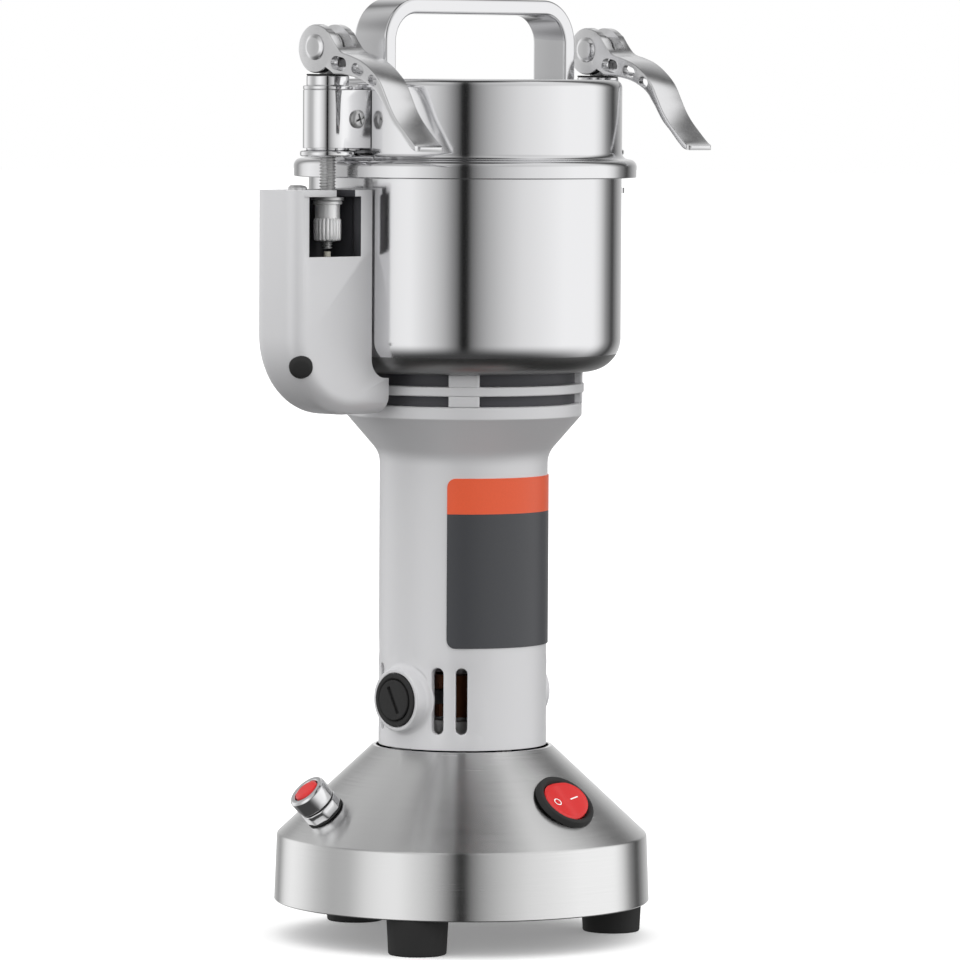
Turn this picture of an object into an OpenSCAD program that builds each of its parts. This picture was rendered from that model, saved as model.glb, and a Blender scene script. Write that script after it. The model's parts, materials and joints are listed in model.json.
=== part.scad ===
// Electric grain mill: round steel base, motor column, steel grinding chamber and a lid
// held down by two cam latches. The origin is on the spindle axis at floor level, the latch
// box with the safety switch is towards -X and the rocker switch faces -Y.

/* [Base] */
// Diameter of the base at the foot of its skirt
base_d = 135; // [125:1:145]
// Height of the skirt
skirt_h = 23.9; // [18:0.1:30]
// How much narrower the skirt is at its shoulder, in diameter
skirt_draft = 1.8; // [0:0.1:4]
// Height of the cone above the skirt
cone_h = 32.1; // [26:0.1:36]
// Diameter of the cone's top
cone_top_d = 64.6; // [63.5:0.1:72]
// Thickness of the base's steel sheet
base_t = 1.2; // [0.8:0.1:2]
// Thickness of the bottom plate
plate_t = 1.5; // [1:0.1:2.5]
// How far the skirt hides the bottom plate
plate_recess = 1; // [0.5:0.1:3]

/* [Feet] */
// Height of the feet that shows below the skirt
foot_show = 13; // [10:0.5:16]
// Diameter of a foot at its top
foot_top_d = 22; // [18:0.5:23]
// Diameter of a foot where it meets the floor
foot_low_d = 20.6; // [17:0.1:21]
// Distance of the feet's centres in from the skirt's foot
foot_inset = 11.5; // [11.4:0.1:15]
// Direction of the back foot, in degrees
foot_dir = 89; // [85:1:95]
// Diameter of the recess in a foot's underside
recess_d = 9; // [8.8:0.1:11]
// Diameter of the foot screws' thread
foot_screw_d = 4; // [3:0.5:5]

/* [Motor column] */
// Diameter of the column
column_d = 60.4; // [58:0.1:62]
// Height of the column's straight part
column_h = 104.5; // [98:0.5:112]
// Height of the flare above the straight part
flare_h = 14; // [11:0.5:18]
// Diameter of the flange at the top of the flare
flange_d = 84.6; // [82:0.1:88]
// Thickness of the flange's lip
flange_t = 4.4; // [4:0.1:6]
// Wall of the column
column_t = 2.6; // [2:0.1:3]
// Thickness of the column's floor
column_floor_t = 3; // [2:0.5:4]
// Gap between the cone's top and the column
column_gap = 0.5; // [0:0.1:1]

/* [Column details] */
// Height of the brush caps above the column's foot
brush_up = 17.5; // [16.5:0.5:19]
// Diameter of the bosses round the brush caps
boss_d = 22.7; // [20:0.1:23]
// How far a boss stands out of the column
boss_out = 3.6; // [2:0.1:5]
// Diameter of a brush cap's black rim
cap_rim_d = 19; // [16:0.1:19.5]
// Diameter of a brush cap
cap_d = 14.4; // [12:0.1:15]
// Width of an air slot
slot_w = 4.3; // [3:0.1:5]
// Height of an air slot
slot_h = 23.7; // [18:0.1:26]
// Directions of the air slots either side of a brush cap, in degrees
slot_dirs = [27.8, 44.4];
// Direction of the label's first edge, in degrees
label_dir = 214.1; // [200:0.1:220]
// Angle that the label covers round the column, in degrees
label_angle = 119; // [100:1:125]
// Height of the label's lower edge above the column's foot
label_up = 36.5; // [34:0.5:38]
// Height of the label
label_h = 60.5; // [50:0.5:64]
// Thickness of the label plate
label_t = 0.4; // [0.3:0.1:0.6]

/* [Grinding chamber] */
// Outer diameter of the chamber
chamber_d = 112.2; // [111:0.1:114]
// Height of the chamber from its floor to its rim
chamber_h = 71.4; // [68:0.1:76]
// Wall of the chamber
chamber_t = 1.2; // [0.8:0.1:1.4]
// Outer radius of the chamber's lower corner
chamber_corner_r = 12; // [9:0.5:14]
// Height of the air gap between the column and the chamber
air_gap = 11.4; // [10.4:0.1:13]
// Thickness of the ring in the air gap
vent_ring_t = 3.4; // [2.4:0.1:4]
// Width of the blocks that carry the ring and the chamber
block_w = 11; // [9:0.5:13]

/* [Lid] */
// Outer diameter of the lid's flange
lid_flange_d = 122.8; // [122:0.1:126]
// Height of the lid's flange
lid_flange_h = 6.5; // [6:0.1:8]
// Height of the lid above its flange
lid_top_h = 28.5; // [27:0.5:32]
// Sheet thickness of the lid
lid_t = 1.2; // [0.8:0.1:1.4]
// Radius of the lid's top edge
lid_edge_r = 3; // [2:0.5:5]
// Distance of the handle's ends in from the lid's wall
handle_inset = 9.6; // [8:0.1:16]
// Width of the handle's band
handle_w = 16.5; // [12:0.5:20]
// Thickness of the handle's band
handle_t = 4.5; // [3.5:0.1:5.5]
// Height of the handle over the lid
handle_h = 28.5; // [25:0.5:34]
// Outer radius of the handle's bends
handle_r = 22; // [16:0.5:24]

/* [Latches] */
// Distance of each latch rod from the spindle axis
rod_x = 68.3; // [67.8:0.1:69.5]
// Diameter of a latch rod
rod_d = 5.9; // [5:0.1:6]
// Height of the cam pin above the strap's top
pin_up = 14.9; // [14.8:0.1:16]
// Diameter of a cam pin
pin_d = 6; // [5:0.1:6.4]
// Diameter of a lever's cam ears
ear_d = 17; // [16:0.1:17]
// How far the ears' centre lies below the pin, which is the cam's throw
cam_throw = 0.6; // [0.3:0.1:0.8]
// Width over a lever's ears
lever_w = 12.8; // [12:0.1:14]
// Gap between a lever's ears
fork_w = 6.2; // [5.6:0.1:7]
// Length of a lever from its pin to its tip
lever_l = 52; // [46:0.5:58]
// Drop of a lever's tip below its pin
lever_drop = 36; // [32:0.5:38]
// Thickness of a lever's web
lever_t = 2.2; // [1.8:0.1:3]
// Diameter of a latch sleeve
sleeve_d = 15.4; // [14:0.1:16]
// Height of the strap that holds a sleeve
strap_h = 20.5; // [16:0.5:20.5]
// Thickness of the strap
strap_t = 1; // [0.8:0.1:1.4]
// Length of a knurled nut
nut_h = 14; // [11:0.5:14.5]
// Diameter of a nut's knurled part
knurl_d = 9.7; // [9:0.1:10.2]
// Diameter of the washer on a nut
washer_d = 11.8; // [10.6:0.1:11.9]

/* [Latch box] */
// Distance of the box's outer face from the spindle axis
box_x = 92.5; // [88:0.5:96]
// How far the box reaches towards the front
box_front = 10; // [9:0.1:10.5]
// How far the box reaches towards the back
box_back = 13; // [11:0.5:15]
// Radius of the box's upright corners
box_corner_r = 6.5; // [4:0.5:7]
// Radius of the bend from the outer face into the box's foot
box_bend_r = 28.5; // [20:0.5:32]
// Wall of the box
box_t = 2.3; // [1.8:0.1:2.6]
// Height of the window for the nut
window_h = 21; // [19:0.5:24]
// Width of the rod's slot in the box's top
box_slot_w = 9; // [8.6:0.1:9.6]

/* [Switches] */
// Distance of the rocker switch in from the skirt's shoulder
rocker_inset = 15.6; // [13.6:0.1:16.6]
// Diameter of the rocker's bezel
bezel_d = 23; // [21:0.5:24]
// Diameter of the rocker button
rocker_d = 17; // [15:0.1:17.4]
// How far the rocker swings, in degrees
rocker_swing = 20; // [14:1:24]
// Distance of the reset button in from the skirt's shoulder
reset_inset = 10.6; // [9.6:0.1:13.6]
// Direction of the reset button, in degrees
reset_dir = 165; // [160:1:170]
// Diameter of the reset button
reset_d = 9.4; // [8:0.1:10]
// Travel of the reset button
reset_travel = 1.8; // [1:0.1:2]

/* [Rotor] */
// Diameter of the motor shaft
shaft_d = 8; // [7:0.1:8.4]
// Outer diameter of a bearing
bearing_d = 22; // [20:0.5:24]
// Height of a bearing
bearing_h = 7; // [6:0.5:8]
// Height of the motor's iron core
core_h = 38; // [30:1:42]
// Diameter of the armature
armature_d = 30.4; // [28:0.2:31]
// Diameter of the commutator
commutator_d = 20; // [17:0.5:22]
// Diameter of the fan
fan_d = 51; // [44:0.5:52]
// Diameter that the blades sweep
blade_sweep_d = 98; // [80:1:104]
// Width of a blade
blade_w = 15; // [12:0.5:20]
// Thickness of a blade
blade_t = 2; // [1.5:0.1:3]

/* [Hidden] */

$fn = 96;
// Overrun of every cut past the face that it opens
over = 1;
// Clearance of a running fit, on the radius
run_c = 0.05;
// Clearance between still pieces that lie beside each other
still_c = 0.2;
// Clearance between moving pieces that pass each other
pass_c = 0.3;

// Heights from the floor up
skirt_z = foot_show;
shoulder_z = skirt_z + skirt_h;
cone_top_z = shoulder_z + cone_h;
column_z = cone_top_z + column_gap;
flare_z = column_z + column_h;
flange_z = flare_z + flare_h;
column_top_z = flange_z + flange_t;
chamber_z = column_top_z + air_gap;
rim_z = chamber_z + chamber_h;
rim_t = 1.6;
rim_drop = 2.2;
lid_z = rim_z - rim_drop;
lid_shoulder_z = lid_z + lid_flange_h;
lid_top_z = lid_shoulder_z + lid_top_h;
plate_z = skirt_z + plate_recess;

// Radii of the base
skirt_r = base_d / 2;
shoulder_r = (base_d - skirt_draft) / 2;
cone_top_r = cone_top_d / 2;
foot_circle_r = skirt_r - foot_inset;
rocker_at_r = shoulder_r - rocker_inset;
reset_at_r = shoulder_r - reset_inset;
cone_tilt = atan2(cone_h, shoulder_r - cone_top_r);
shoulder_edge_r = 1.5;
sheet_top_share = 0.7;
sheet_edge_share = 0.2;
pillar_d = 8;
pillar_bore_l = 14;

// Screws: head height and head radius as shares of the thread's radius, and the head's top
head_h_share = 1.1;
head_r_share = 1.9;
head_top_share = 0.7;

// Sizes inside the column
column_r = column_d / 2;
column_in_r = column_r - column_t;
top_flange_w = 6;
top_flange_in_r = column_in_r - top_flange_w;
hub_t = 3;
shaft_hole_c = 2;
hub_r = bearing_d / 2 + hub_t;
hub_floor_t = 1.5;
low_bearing_z = column_z + hub_floor_t;
plate_ring_w = 5.8;
top_ledge_w = 3;
top_plate_r = flange_d / 2 - plate_ring_w;
top_plate_t = 3.2;
top_plate_z = column_top_z - top_plate_t;
high_bearing_z = column_top_z - hub_floor_t - bearing_h;
shaft_r = shaft_d / 2;
brush_z = column_z + brush_up;
commutator_h = 15;
bar_gap_w = 0.4;
bar_gap_in = 0.8;
riser_h = 2;
core_gap = 17;
core_z = brush_z + commutator_h / 2 + core_gap;
winding_h = 9;
winding_in = 1.5;
armature_slot_in = 2.4;
armature_slot_r = 1.4;
armature_slot_w = 1;
fan_h = 11;
fan_gap = 5.5;
fan_hub_t = 4;
fan_z = high_bearing_z - fan_gap - fan_h;
mount_screw_d = 4;
mount_screw_in = 5;
mount_screw_r = column_in_r - mount_screw_in;
shaft_tail = 1;
ball_share = 0.09;
race_gap_share = 0.6;

// Sizes of the chamber and the pieces between it and the column
chamber_r = chamber_d / 2;
chamber_in_r = chamber_r - chamber_t;
rim_out = 3.6;
vent_lap = 0.3;
vent_out = 0.7;
vent_ring_share = 0.47;
vent_in_r = top_plate_r - vent_lap;
vent_out_r = flange_d / 2 + vent_out;
vent_ring_z = column_top_z + (air_gap - vent_ring_t) * vent_ring_share;
chamber_screw_d = 3;
chamber_screw_r = (top_plate_r + flange_d / 2) / 2;
chamber_bend_r = min(chamber_corner_r,
    chamber_r - chamber_screw_r - chamber_screw_d / 2 * head_r_share - still_c);
seal_r = 9;
seal_lip = 3;
seal_t = 2;
seal_down = 6;

// Sizes of the blade stack
stack_gap = 0.3;
low_collar_h = 6;
blade_step = 10;
collar_r = 7;
blade_z = chamber_z + chamber_t + seal_t + stack_gap + low_collar_h;
blade_two_z = blade_z + blade_t + blade_step;
blade_waist = 1;
blade_nut_h = 7;
blade_nut_r = 7.5;
blade_nut_dome_h = 2;
blade_nut_dome_share = 0.75;
blade_nut_tip_share = 0.4;
nut_bore_share = 0.6;
blade_bend_share = 0.45;
blade_lift_share = 0.7;

// Sizes of the lid
lid_flange_r = lid_flange_d / 2;
lid_r = chamber_r;
lid_shoulder_r = 3;
lid_fillet_r = 3.5;
gasket_h = 3;
gasket_in = 1;
handle_l = 2 * (lid_r - handle_inset);
handle_screw_d = 3;
handle_screw_l = 9;

// Heights and sizes of the latches
strap_drop = 4;
strap_top_z = lid_top_z - strap_drop;
strap_z = strap_top_z - strap_h;
sleeve_rib_h = 1.3;
collar_up = 5;
collar_top_z = strap_top_z + collar_up;
sleeve_foot_t = 1.9;
sleeve_foot_gap = 1;
sleeve_foot_out = 1;
sleeve_foot_z = strap_z - sleeve_foot_gap - sleeve_foot_t;
sleeve_r = sleeve_d / 2;
strap_r = sleeve_r + strap_t;
pin_z = strap_top_z + pin_up;
ear_r = ear_d / 2;
ear_z = pin_z - cam_throw;
seat_top_z = ear_z - ear_r - pass_c;
seat_in = 0.2;
seat_r = sleeve_r - seat_in;
rod_r = rod_d / 2;
pin_r = pin_d / 2;
eye_wall = 2;
eye_r = pin_r + eye_wall;
eye_w = fork_w - 2 * pass_c;
fork_clear = 2.6;
fork_r = ear_r + fork_clear;
pin_head_lap = 1.6;
pin_head_r = pin_r + pin_head_lap;
pin_head_h = 1.2;
strap_screw_d = 3.5;
leg_screw_in = 5.9;
leg_screw_x = rod_x - leg_screw_in;
box_drop = 4;
box_top_z = lid_z - box_drop;
top_plate_low_z = box_top_z - box_t;
lug_t = 2;
lug_z = top_plate_low_z;
washer_h = 1.2;
washer_z = top_plate_low_z - pass_c - washer_h;
nut_gap = 0.1;
nut_z = washer_z - nut_gap - nut_h;
rod_stub = 2.8;
rod_z = nut_z - rod_stub;
knurl_share = 0.56;
nut_collar_share = 0.085;
nut_neck_in = 0.45;
nut_collar_out = 0.3;
nut_neck_d = knurl_d - 2 * nut_neck_in;
nut_collar_d = knurl_d + 2 * nut_collar_out;
knurls = 20;
knurl_cut = 0.56;

// A lever seen from its side: places along its length and down its drop, as shares
lever_top_shares = [[0.12, -0.16], [0.23, 0.025], [0.34, 0.08], [0.44, 0.13], [0.54, 0.22],
    [0.63, 0.34], [0.69, 0.485], [0.74, 0.61], [0.8, 0.72], [0.885, 0.84], [0.96, 0.945],
    [1, 0.975]];
lever_low_shares = [[0.99, 1], [0.95, 0.99], [0.885, 0.92], [0.81, 0.81], [0.73, 0.7],
    [0.65, 0.54], [0.57, 0.41], [0.44, 0.315], [0.28, 0.268], [0.19, 0.262], [0.14, 0.23],
    [0.1, 0.2]];
lever_hole_shares = [[0.23, 0.16], [0.413, 0.218], [0.556, 0.322]];
lever_hole_ds = [4.8, 3.8, 3.2];
lever_hole_ls = [3, 2.4, 1.4];
lever_hole_tilts = [10, 20, 34];
lever_tip_r = 2.5;
lever_cheek = 2.2;
lever_channel_from = 0.3;
lever_channel_to = 0.8;
curve_steps = 4;

// Sizes of the latch box and the safety switch
box_hang = 2.5;
box_z = column_top_z - box_hang;
box_gap = 0.8;
box_foot_gap = 6.3;
box_foot_r = flange_d / 2 + box_foot_gap;
box_inner_wall = 2.7;
box_in_r = chamber_r + box_gap + box_inner_wall;
wire_hole_r = 3;
tongue_t = vent_ring_z - column_top_z - still_c;
tongue_in_r = top_plate_r;
tongue_screw_r = (top_plate_r + flange_d / 2) / 2;
tongue_w = 10;
tongue_y = 7;
tongue_screw_x = sqrt(tongue_screw_r * tongue_screw_r - tongue_y * tongue_y);
window_clear = 0.2;
window_in_x = sqrt(rod_x * rod_x - box_front * box_front) - washer_d / 2 - window_clear;
window_out_x = box_x - box_corner_r;
box_slot_out = 0.6;
box_slot_x = rod_x + box_slot_out;
box_slot_back = box_back - box_t;
box_floor_up = 12;
box_floor_z = chamber_z + box_floor_up;
wire_hole_in = 1;
switch_l = 19.8;
switch_w = 6.4;
switch_h = 10.2;
plunger_r = 1.2;
plunger_up = 2;
plunger_in = 3;
plunger_gap = 1;
plunger_z = rod_z - plunger_gap;
switch_z = plunger_z - plunger_up - switch_h;
plug_d = 8.4;
plug_h = 3;
plug_up = 19.4;
plug_dir = 229;
plug_dip = 18;
box_screw_d = 3;
box_screw_in = 11;
box_screw_x = box_x - box_screw_in;
box_screw_y = 2;

// Sizes of the lug on the right
lug_past = 7.7;
lug_x = rod_x + lug_past;
lug_half_w = 9;
lug_slot_w = 8;
lug_tab_h = 16;

// Sizes of the switches on the cone
bezel_h = 2.6;
rocker_body_d = 20;
rocker_body_l = 20;
rocker_pivot = 0.8;
rocker_low = 3;
rocker_dip_share = 0.385;
rocker_c = 0.25;
breaker_neck_d = 11.4;
breaker_body_d = 16;
breaker_body_l = 20;
breaker_drop = 4;
breaker_neck_l = 10.6;
nut_low_h = 4.2;
nut_low_d = 15;
seal_line_h = 0.7;
nut_cap_h = 6.4;
nut_cap_d = 14.4;
reset_show = 1.9;
reset_in = 6;

// Sizes of the cord gland
gland_dir = 60;
gland_up = 12;
gland_thread_d = 12;
gland_hex_d = 17;
gland_hex_h = 4;
gland_dome_d = 15;
gland_dome_h = 9;
gland_tip_share = 0.75;
gland_bore_d = 7.2;
gland_nut_h = 3;
gland_nut_gap = 0.8;

// Sizes of the brushes and the coils
holder_r = 5.4;
brush_w = 5;
brush_l = 13;
brush_gap = 0.3;
cap_out = 1.2;
rim_proud = 0.8;
cap_slot_w = 1.6;
cap_slot_share = 0.72;
cap_slot_dir = 62;
holder_gap = 2;
spring_t = 0.65;
stator_gap = 0.6;
pole_w = 20;
pole_t = 3;
yoke_t = 4;
yoke_share = 0.86;
coil_w = 6;

// Height of the cone's surface at a radius
function cone_z(r) = shoulder_z + (shoulder_r - r) * cone_h / (shoulder_r - cone_top_r);
// A quarter arc of points about a centre, from one angle to another
function arc(cx, cy, r, from, to, steps = 8) =
    [for (i = [0:steps]) let (a = from + (to - from) * i / steps) [cx + r * cos(a), cy + r * sin(a)]];
// A point of a smooth curve through four points
function blend(a, b, c, d, t) = 0.5 * ((2 * b) + (c - a) * t + (2 * a - 5 * b + 4 * c - d) * t * t
    + (3 * b - a - 3 * c + d) * t * t * t);
// A smooth curve through all points of a list
function smooth(p) = [for (i = [0:len(p) - 2], k = [0:curve_steps - 1])
    blend(p[max(i - 1, 0)], p[i], p[i + 1], p[min(i + 2, len(p) - 1)], k / curve_steps),
    p[len(p) - 1]];

module ring(r_out, r_in, h, z = 0) {
    translate([0, 0, z])
        difference() {
            cylinder(r = r_out, h = h);
            translate([0, 0, -over]) cylinder(r = r_in, h = h + 2 * over);
        }
}

// Places children on the cone's surface, with their Z along its outward normal
module on_cone(dir, r) {
    rotate([0, 0, dir]) translate([r, 0, cone_z(r)]) rotate([0, cone_tilt, 0]) children();
}

// Places children at each of several equal turns about the spindle
module turns(count, from, r) {
    for (i = [0:count - 1]) rotate([0, 0, from + i * 360 / count]) translate([r, 0, 0]) children();
}

// A pan head screw that points down from its head's seat at the origin
module screw(d, l) {
    translate([0, 0, -l]) cylinder(d = d, h = l);
    head_r = d / 2 * head_r_share;
    head_h = d / 2 * head_h_share;
    difference() {
        union() {
            cylinder(r = head_r, h = head_h / 2);
            translate([0, 0, head_h / 2]) cylinder(r1 = head_r, r2 = head_r * head_top_share, h = head_h / 2);
        }
        for (a = [0, 90]) rotate([0, 0, a])
            translate([-head_r / 2, -d / 12, head_h / 2]) cube([head_r, d / 6, head_h]);
    }
}

// Puts children at the left latch's place, or turned half round at the right one's
module latch_side(side) {
    rotate([0, 0, side < 0 ? 0 : 180]) translate([-rod_x, 0, 0]) children();
}

// Puts children at a latch without turning them
module at_rod(side) {
    translate([side * rod_x, 0, 0]) children();
}

// Base

module base_profile() {
    t = base_t;
    nx = sin(cone_tilt);
    ny = cos(cone_tilt);
    polygon(concat(
        [[skirt_r, skirt_z], [shoulder_r, shoulder_z - shoulder_edge_r]],
        arc(shoulder_r - shoulder_edge_r, shoulder_z - shoulder_edge_r, shoulder_edge_r, 0,
            90 - cone_tilt, 5),
        [[cone_top_r, cone_top_z], [top_flange_in_r, cone_top_z], [top_flange_in_r, cone_top_z - t],
            [cone_top_r - t * nx * sheet_top_share, cone_top_z - t],
            [shoulder_r - t - shoulder_edge_r, shoulder_z - t * ny - shoulder_edge_r * sheet_edge_share],
            [shoulder_r - t, shoulder_z - shoulder_edge_r - t],
            [skirt_r - t, skirt_z]]));
}

module base_shell() {
    color([0.74, 0.74, 0.73])
    difference() {
        union() {
            rotate_extrude() base_profile();
            intersection() {
                turns(3, foot_dir, foot_circle_r)
                    translate([0, 0, plate_z + plate_t])
                        cylinder(d = pillar_d, h = cone_z(foot_circle_r) - plate_z);
                rotate_extrude()
                    polygon([[0, 0], [skirt_r - base_t / 2, 0], [shoulder_r - base_t / 2, shoulder_z],
                        [cone_top_r - base_t / 2, cone_top_z - base_t / 2], [0, cone_top_z]]);
            }
        }
        turns(3, foot_dir, foot_circle_r)
            translate([0, 0, plate_z])
                cylinder(d = foot_screw_d + 2 * run_c, h = pillar_bore_l + plate_t);
        on_cone(270, rocker_at_r) translate([0, 0, -rocker_body_l])
            cylinder(d = rocker_body_d + 2 * still_c, h = 2 * rocker_body_l);
        on_cone(reset_dir, reset_at_r) translate([0, 0, -breaker_body_l])
            cylinder(d = breaker_neck_d + 2 * still_c, h = 2 * breaker_body_l);
        rotate([0, 0, gland_dir]) translate([skirt_r - gland_thread_d / 2, 0, skirt_z + gland_up])
            rotate([0, 90, 0]) cylinder(d = gland_thread_d + 2 * still_c, h = gland_thread_d);
        turns(3, foot_dir + 60, mount_screw_r)
            translate([0, 0, cone_top_z - base_t - over])
                cylinder(d = mount_screw_d + 2 * still_c, h = base_t + 2 * over);
    }
}

module base_plate() {
    color([0.3, 0.3, 0.31])
    difference() {
        translate([0, 0, plate_z]) cylinder(r = skirt_r - base_t - still_c, h = plate_t);
        turns(3, foot_dir, foot_circle_r) translate([0, 0, plate_z - over])
            cylinder(d = foot_screw_d + 2 * still_c, h = plate_t + 2 * over);
        turns(6, 0, skirt_r / 3) translate([0, 0, plate_z - over])
            cylinder(r = slot_w / 2, h = plate_t + 2 * over);
    }
}

module rubber_feet() {
    pocket_z = plate_z - foot_screw_d;
    head_z = foot_show / 3;
    color([0.08, 0.08, 0.08])
    turns(3, foot_dir, foot_circle_r)
        difference() {
            union() {
                cylinder(d1 = foot_low_d, d2 = foot_top_d, h = skirt_z);
                cylinder(r = skirt_r - base_t - still_c - foot_circle_r, h = plate_z);
            }
            translate([0, 0, -over]) cylinder(d = recess_d, h = over + head_z);
            cylinder(r = foot_screw_d / 2 * head_r_share + still_c, h = pocket_z);
            cylinder(d = foot_screw_d + 2 * still_c, h = plate_z + over);
        }
}

module foot_screws() {
    pocket_z = plate_z - foot_screw_d;
    color([0.7, 0.7, 0.7])
    turns(3, foot_dir, foot_circle_r) translate([0, 0, pocket_z]) mirror([0, 0, 1])
        screw(foot_screw_d, foot_screw_d + plate_t + pillar_bore_l - over);
}

module mount_screws() {
    color([0.7, 0.7, 0.7])
    turns(3, foot_dir + 60, mount_screw_r) translate([0, 0, cone_top_z - base_t])
        mirror([0, 0, 1]) screw(mount_screw_d, base_t + column_gap + column_floor_t);
}

module cord_gland() {
    wall_x = skirt_r - (skirt_r - shoulder_r) * gland_up / skirt_h;
    in_z = -base_t - gland_nut_gap - gland_nut_h;
    color([0.1, 0.1, 0.1])
    rotate([0, 0, gland_dir]) translate([wall_x, 0, skirt_z + gland_up]) rotate([0, 90, 0])
        difference() {
            union() {
                translate([0, 0, in_z]) cylinder(d = gland_thread_d, h = still_c - in_z);
                translate([0, 0, in_z]) cylinder(d = gland_hex_d, h = gland_nut_h, $fn = 6);
                translate([0, 0, still_c]) cylinder(d = gland_hex_d, h = gland_hex_h, $fn = 6);
                translate([0, 0, still_c + gland_hex_h])
                    cylinder(d1 = gland_dome_d, d2 = gland_dome_d * gland_tip_share, h = gland_dome_h);
            }
            translate([0, 0, in_z - over])
                cylinder(d = gland_bore_d, h = gland_hex_h + gland_dome_h - in_z + 3 * over);
        }
}

// Rocker switch: its body is a round bezel over a barrel, and the button swings inside it

module rocker_bezel() {
    bore_d = rocker_d + 2 * rocker_c;
    edge = bezel_h / 3;
    color([0.07, 0.07, 0.07])
    on_cone(270, rocker_at_r)
        difference() {
            union() {
                cylinder(d = bezel_d, h = bezel_h - edge);
                translate([0, 0, bezel_h - edge])
                    cylinder(d1 = bezel_d, d2 = bezel_d - 2 * edge, h = edge);
                translate([0, 0, -rocker_body_l]) cylinder(d = rocker_body_d, h = rocker_body_l + edge);
            }
            translate([0, 0, rocker_pivot - rocker_d / 2 - rocker_c])
                cylinder(d = bore_d, h = rocker_d + bezel_h);
        }
}

module rocker_button() {
    r = rocker_d / 2;
    rise = rocker_swing / 2;
    end = rocker_swing;
    color([0.85, 0.06, 0.06])
    on_cone(270, rocker_at_r) translate([0, 0, rocker_pivot]) rotate([rise, 0, 0])
        intersection() {
            sphere(r = r);
            rotate([90, 0, 90]) translate([0, 0, -r])
                linear_extrude(height = 2 * r)
                    polygon([[-r, -rocker_low], [r, -rocker_low], [r, r * sin(end)],
                        [0, r * sin(end) * rocker_dip_share], [-r, r * sin(end)]]);
        }
}

// Overload breaker: a threaded neck through the cone, its nut outside, and a push button

module breaker_body() {
    color([0.1, 0.1, 0.1])
    on_cone(reset_dir, reset_at_r)
        difference() {
            union() {
                translate([0, 0, -breaker_body_l - breaker_drop])
                    cylinder(d = breaker_body_d, h = breaker_body_l);
                translate([0, 0, -breaker_drop - over])
                    cylinder(d = breaker_neck_d, h = breaker_neck_l + breaker_drop + over);
            }
            translate([0, 0, breaker_neck_l - reset_in - reset_travel - pass_c])
                cylinder(d = reset_d + 2 * run_c, h = reset_in + reset_travel + 2 * over);
        }
}

module breaker_nut() {
    lift = base_t / 2;
    color([0.8, 0.8, 0.8])
    on_cone(reset_dir, reset_at_r) {
        difference() {
            union() {
                translate([0, 0, lift]) cylinder(d = nut_low_d, h = nut_low_h, $fn = 8);
                translate([0, 0, lift + nut_low_h])
                    cylinder(d = nut_cap_d - 2 * seal_line_h, h = seal_line_h);
                translate([0, 0, lift + nut_low_h + seal_line_h])
                    cylinder(d = nut_cap_d, h = nut_cap_h - seal_line_h);
                translate([0, 0, lift + nut_low_h + nut_cap_h])
                    cylinder(d1 = nut_cap_d, d2 = nut_cap_d - 2 * seal_line_h, h = seal_line_h);
            }
            translate([0, 0, -over])
                cylinder(d = breaker_neck_d + 2 * run_c, h = nut_low_h + nut_cap_h + 3 * over);
        }
    }
}

module reset_button() {
    edge = reset_show / 3;
    color([0.85, 0.05, 0.08])
    on_cone(reset_dir, reset_at_r) {
        translate([0, 0, breaker_neck_l - reset_in]) hull() {
            cylinder(d = reset_d, h = reset_in + reset_show - edge);
            cylinder(d = reset_d - 2 * edge, h = reset_in + reset_show);
        }
    }
}

// Motor column

module column_profile() {
    in_z = column_z + column_floor_t;
    neck_r = top_plate_r - top_ledge_w;
    polygon([[hub_r - hub_t, column_z + hub_floor_t + bearing_h], [hub_r - hub_t, low_bearing_z],
        [shaft_r + shaft_hole_c, low_bearing_z], [shaft_r + shaft_hole_c, column_z], [column_r, column_z],
        [column_r, flare_z], [flange_d / 2, flange_z], [flange_d / 2, column_top_z],
        [top_plate_r, column_top_z], [top_plate_r, top_plate_z], [neck_r, top_plate_z],
        [neck_r, flange_z - flange_t], [column_in_r, flare_z], [column_in_r, in_z],
        [hub_r, in_z], [hub_r, column_z + hub_floor_t + bearing_h]]);
}

module column_slots() {
    for (side = [0, 180], dir = slot_dirs, sign = [-1, 1])
        rotate([0, 0, side + sign * dir])
            translate([column_in_r - column_t, 0, brush_z])
                rotate([0, 90, 0]) linear_extrude(height = 3 * column_t + over) {
                    square([slot_h - slot_w, slot_w], center = true);
                    for (end = [-1, 1]) translate([end * (slot_h - slot_w) / 2, 0])
                        circle(d = slot_w, $fn = 32);
                }
}

module motor_column() {
    color([0.82, 0.82, 0.83])
    difference() {
        union() {
            rotate_extrude() column_profile();
            for (side = [0, 180]) rotate([0, 0, side])
                translate([column_in_r - over, 0, brush_z]) rotate([0, 90, 0])
                    cylinder(d = boss_d, h = column_t + over + boss_out);
        }
        column_slots();
        for (side = [0, 180]) rotate([0, 0, side]) {
            translate([column_in_r / 2, 0, brush_z]) rotate([0, 90, 0])
                cylinder(r = holder_r + run_c, h = column_in_r);
            translate([column_r + boss_out - rim_proud, 0, brush_z]) rotate([0, 90, 0])
                cylinder(d = cap_rim_d + 2 * run_c, h = 2 * rim_proud);
        }
        turns(4, 45, chamber_screw_r) translate([0, 0, column_top_z - flange_t])
            cylinder(d = chamber_screw_d + 2 * run_c, h = flange_t + over);
        turns(3, foot_dir + 60, mount_screw_r) translate([0, 0, column_z - over])
            cylinder(d = mount_screw_d + 2 * run_c, h = column_floor_t + 2 * over);
        translate([-tongue_screw_x, tongue_y, column_top_z - flange_t])
            cylinder(d = box_screw_d + 2 * run_c, h = flange_t + over);
    }
}

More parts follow.
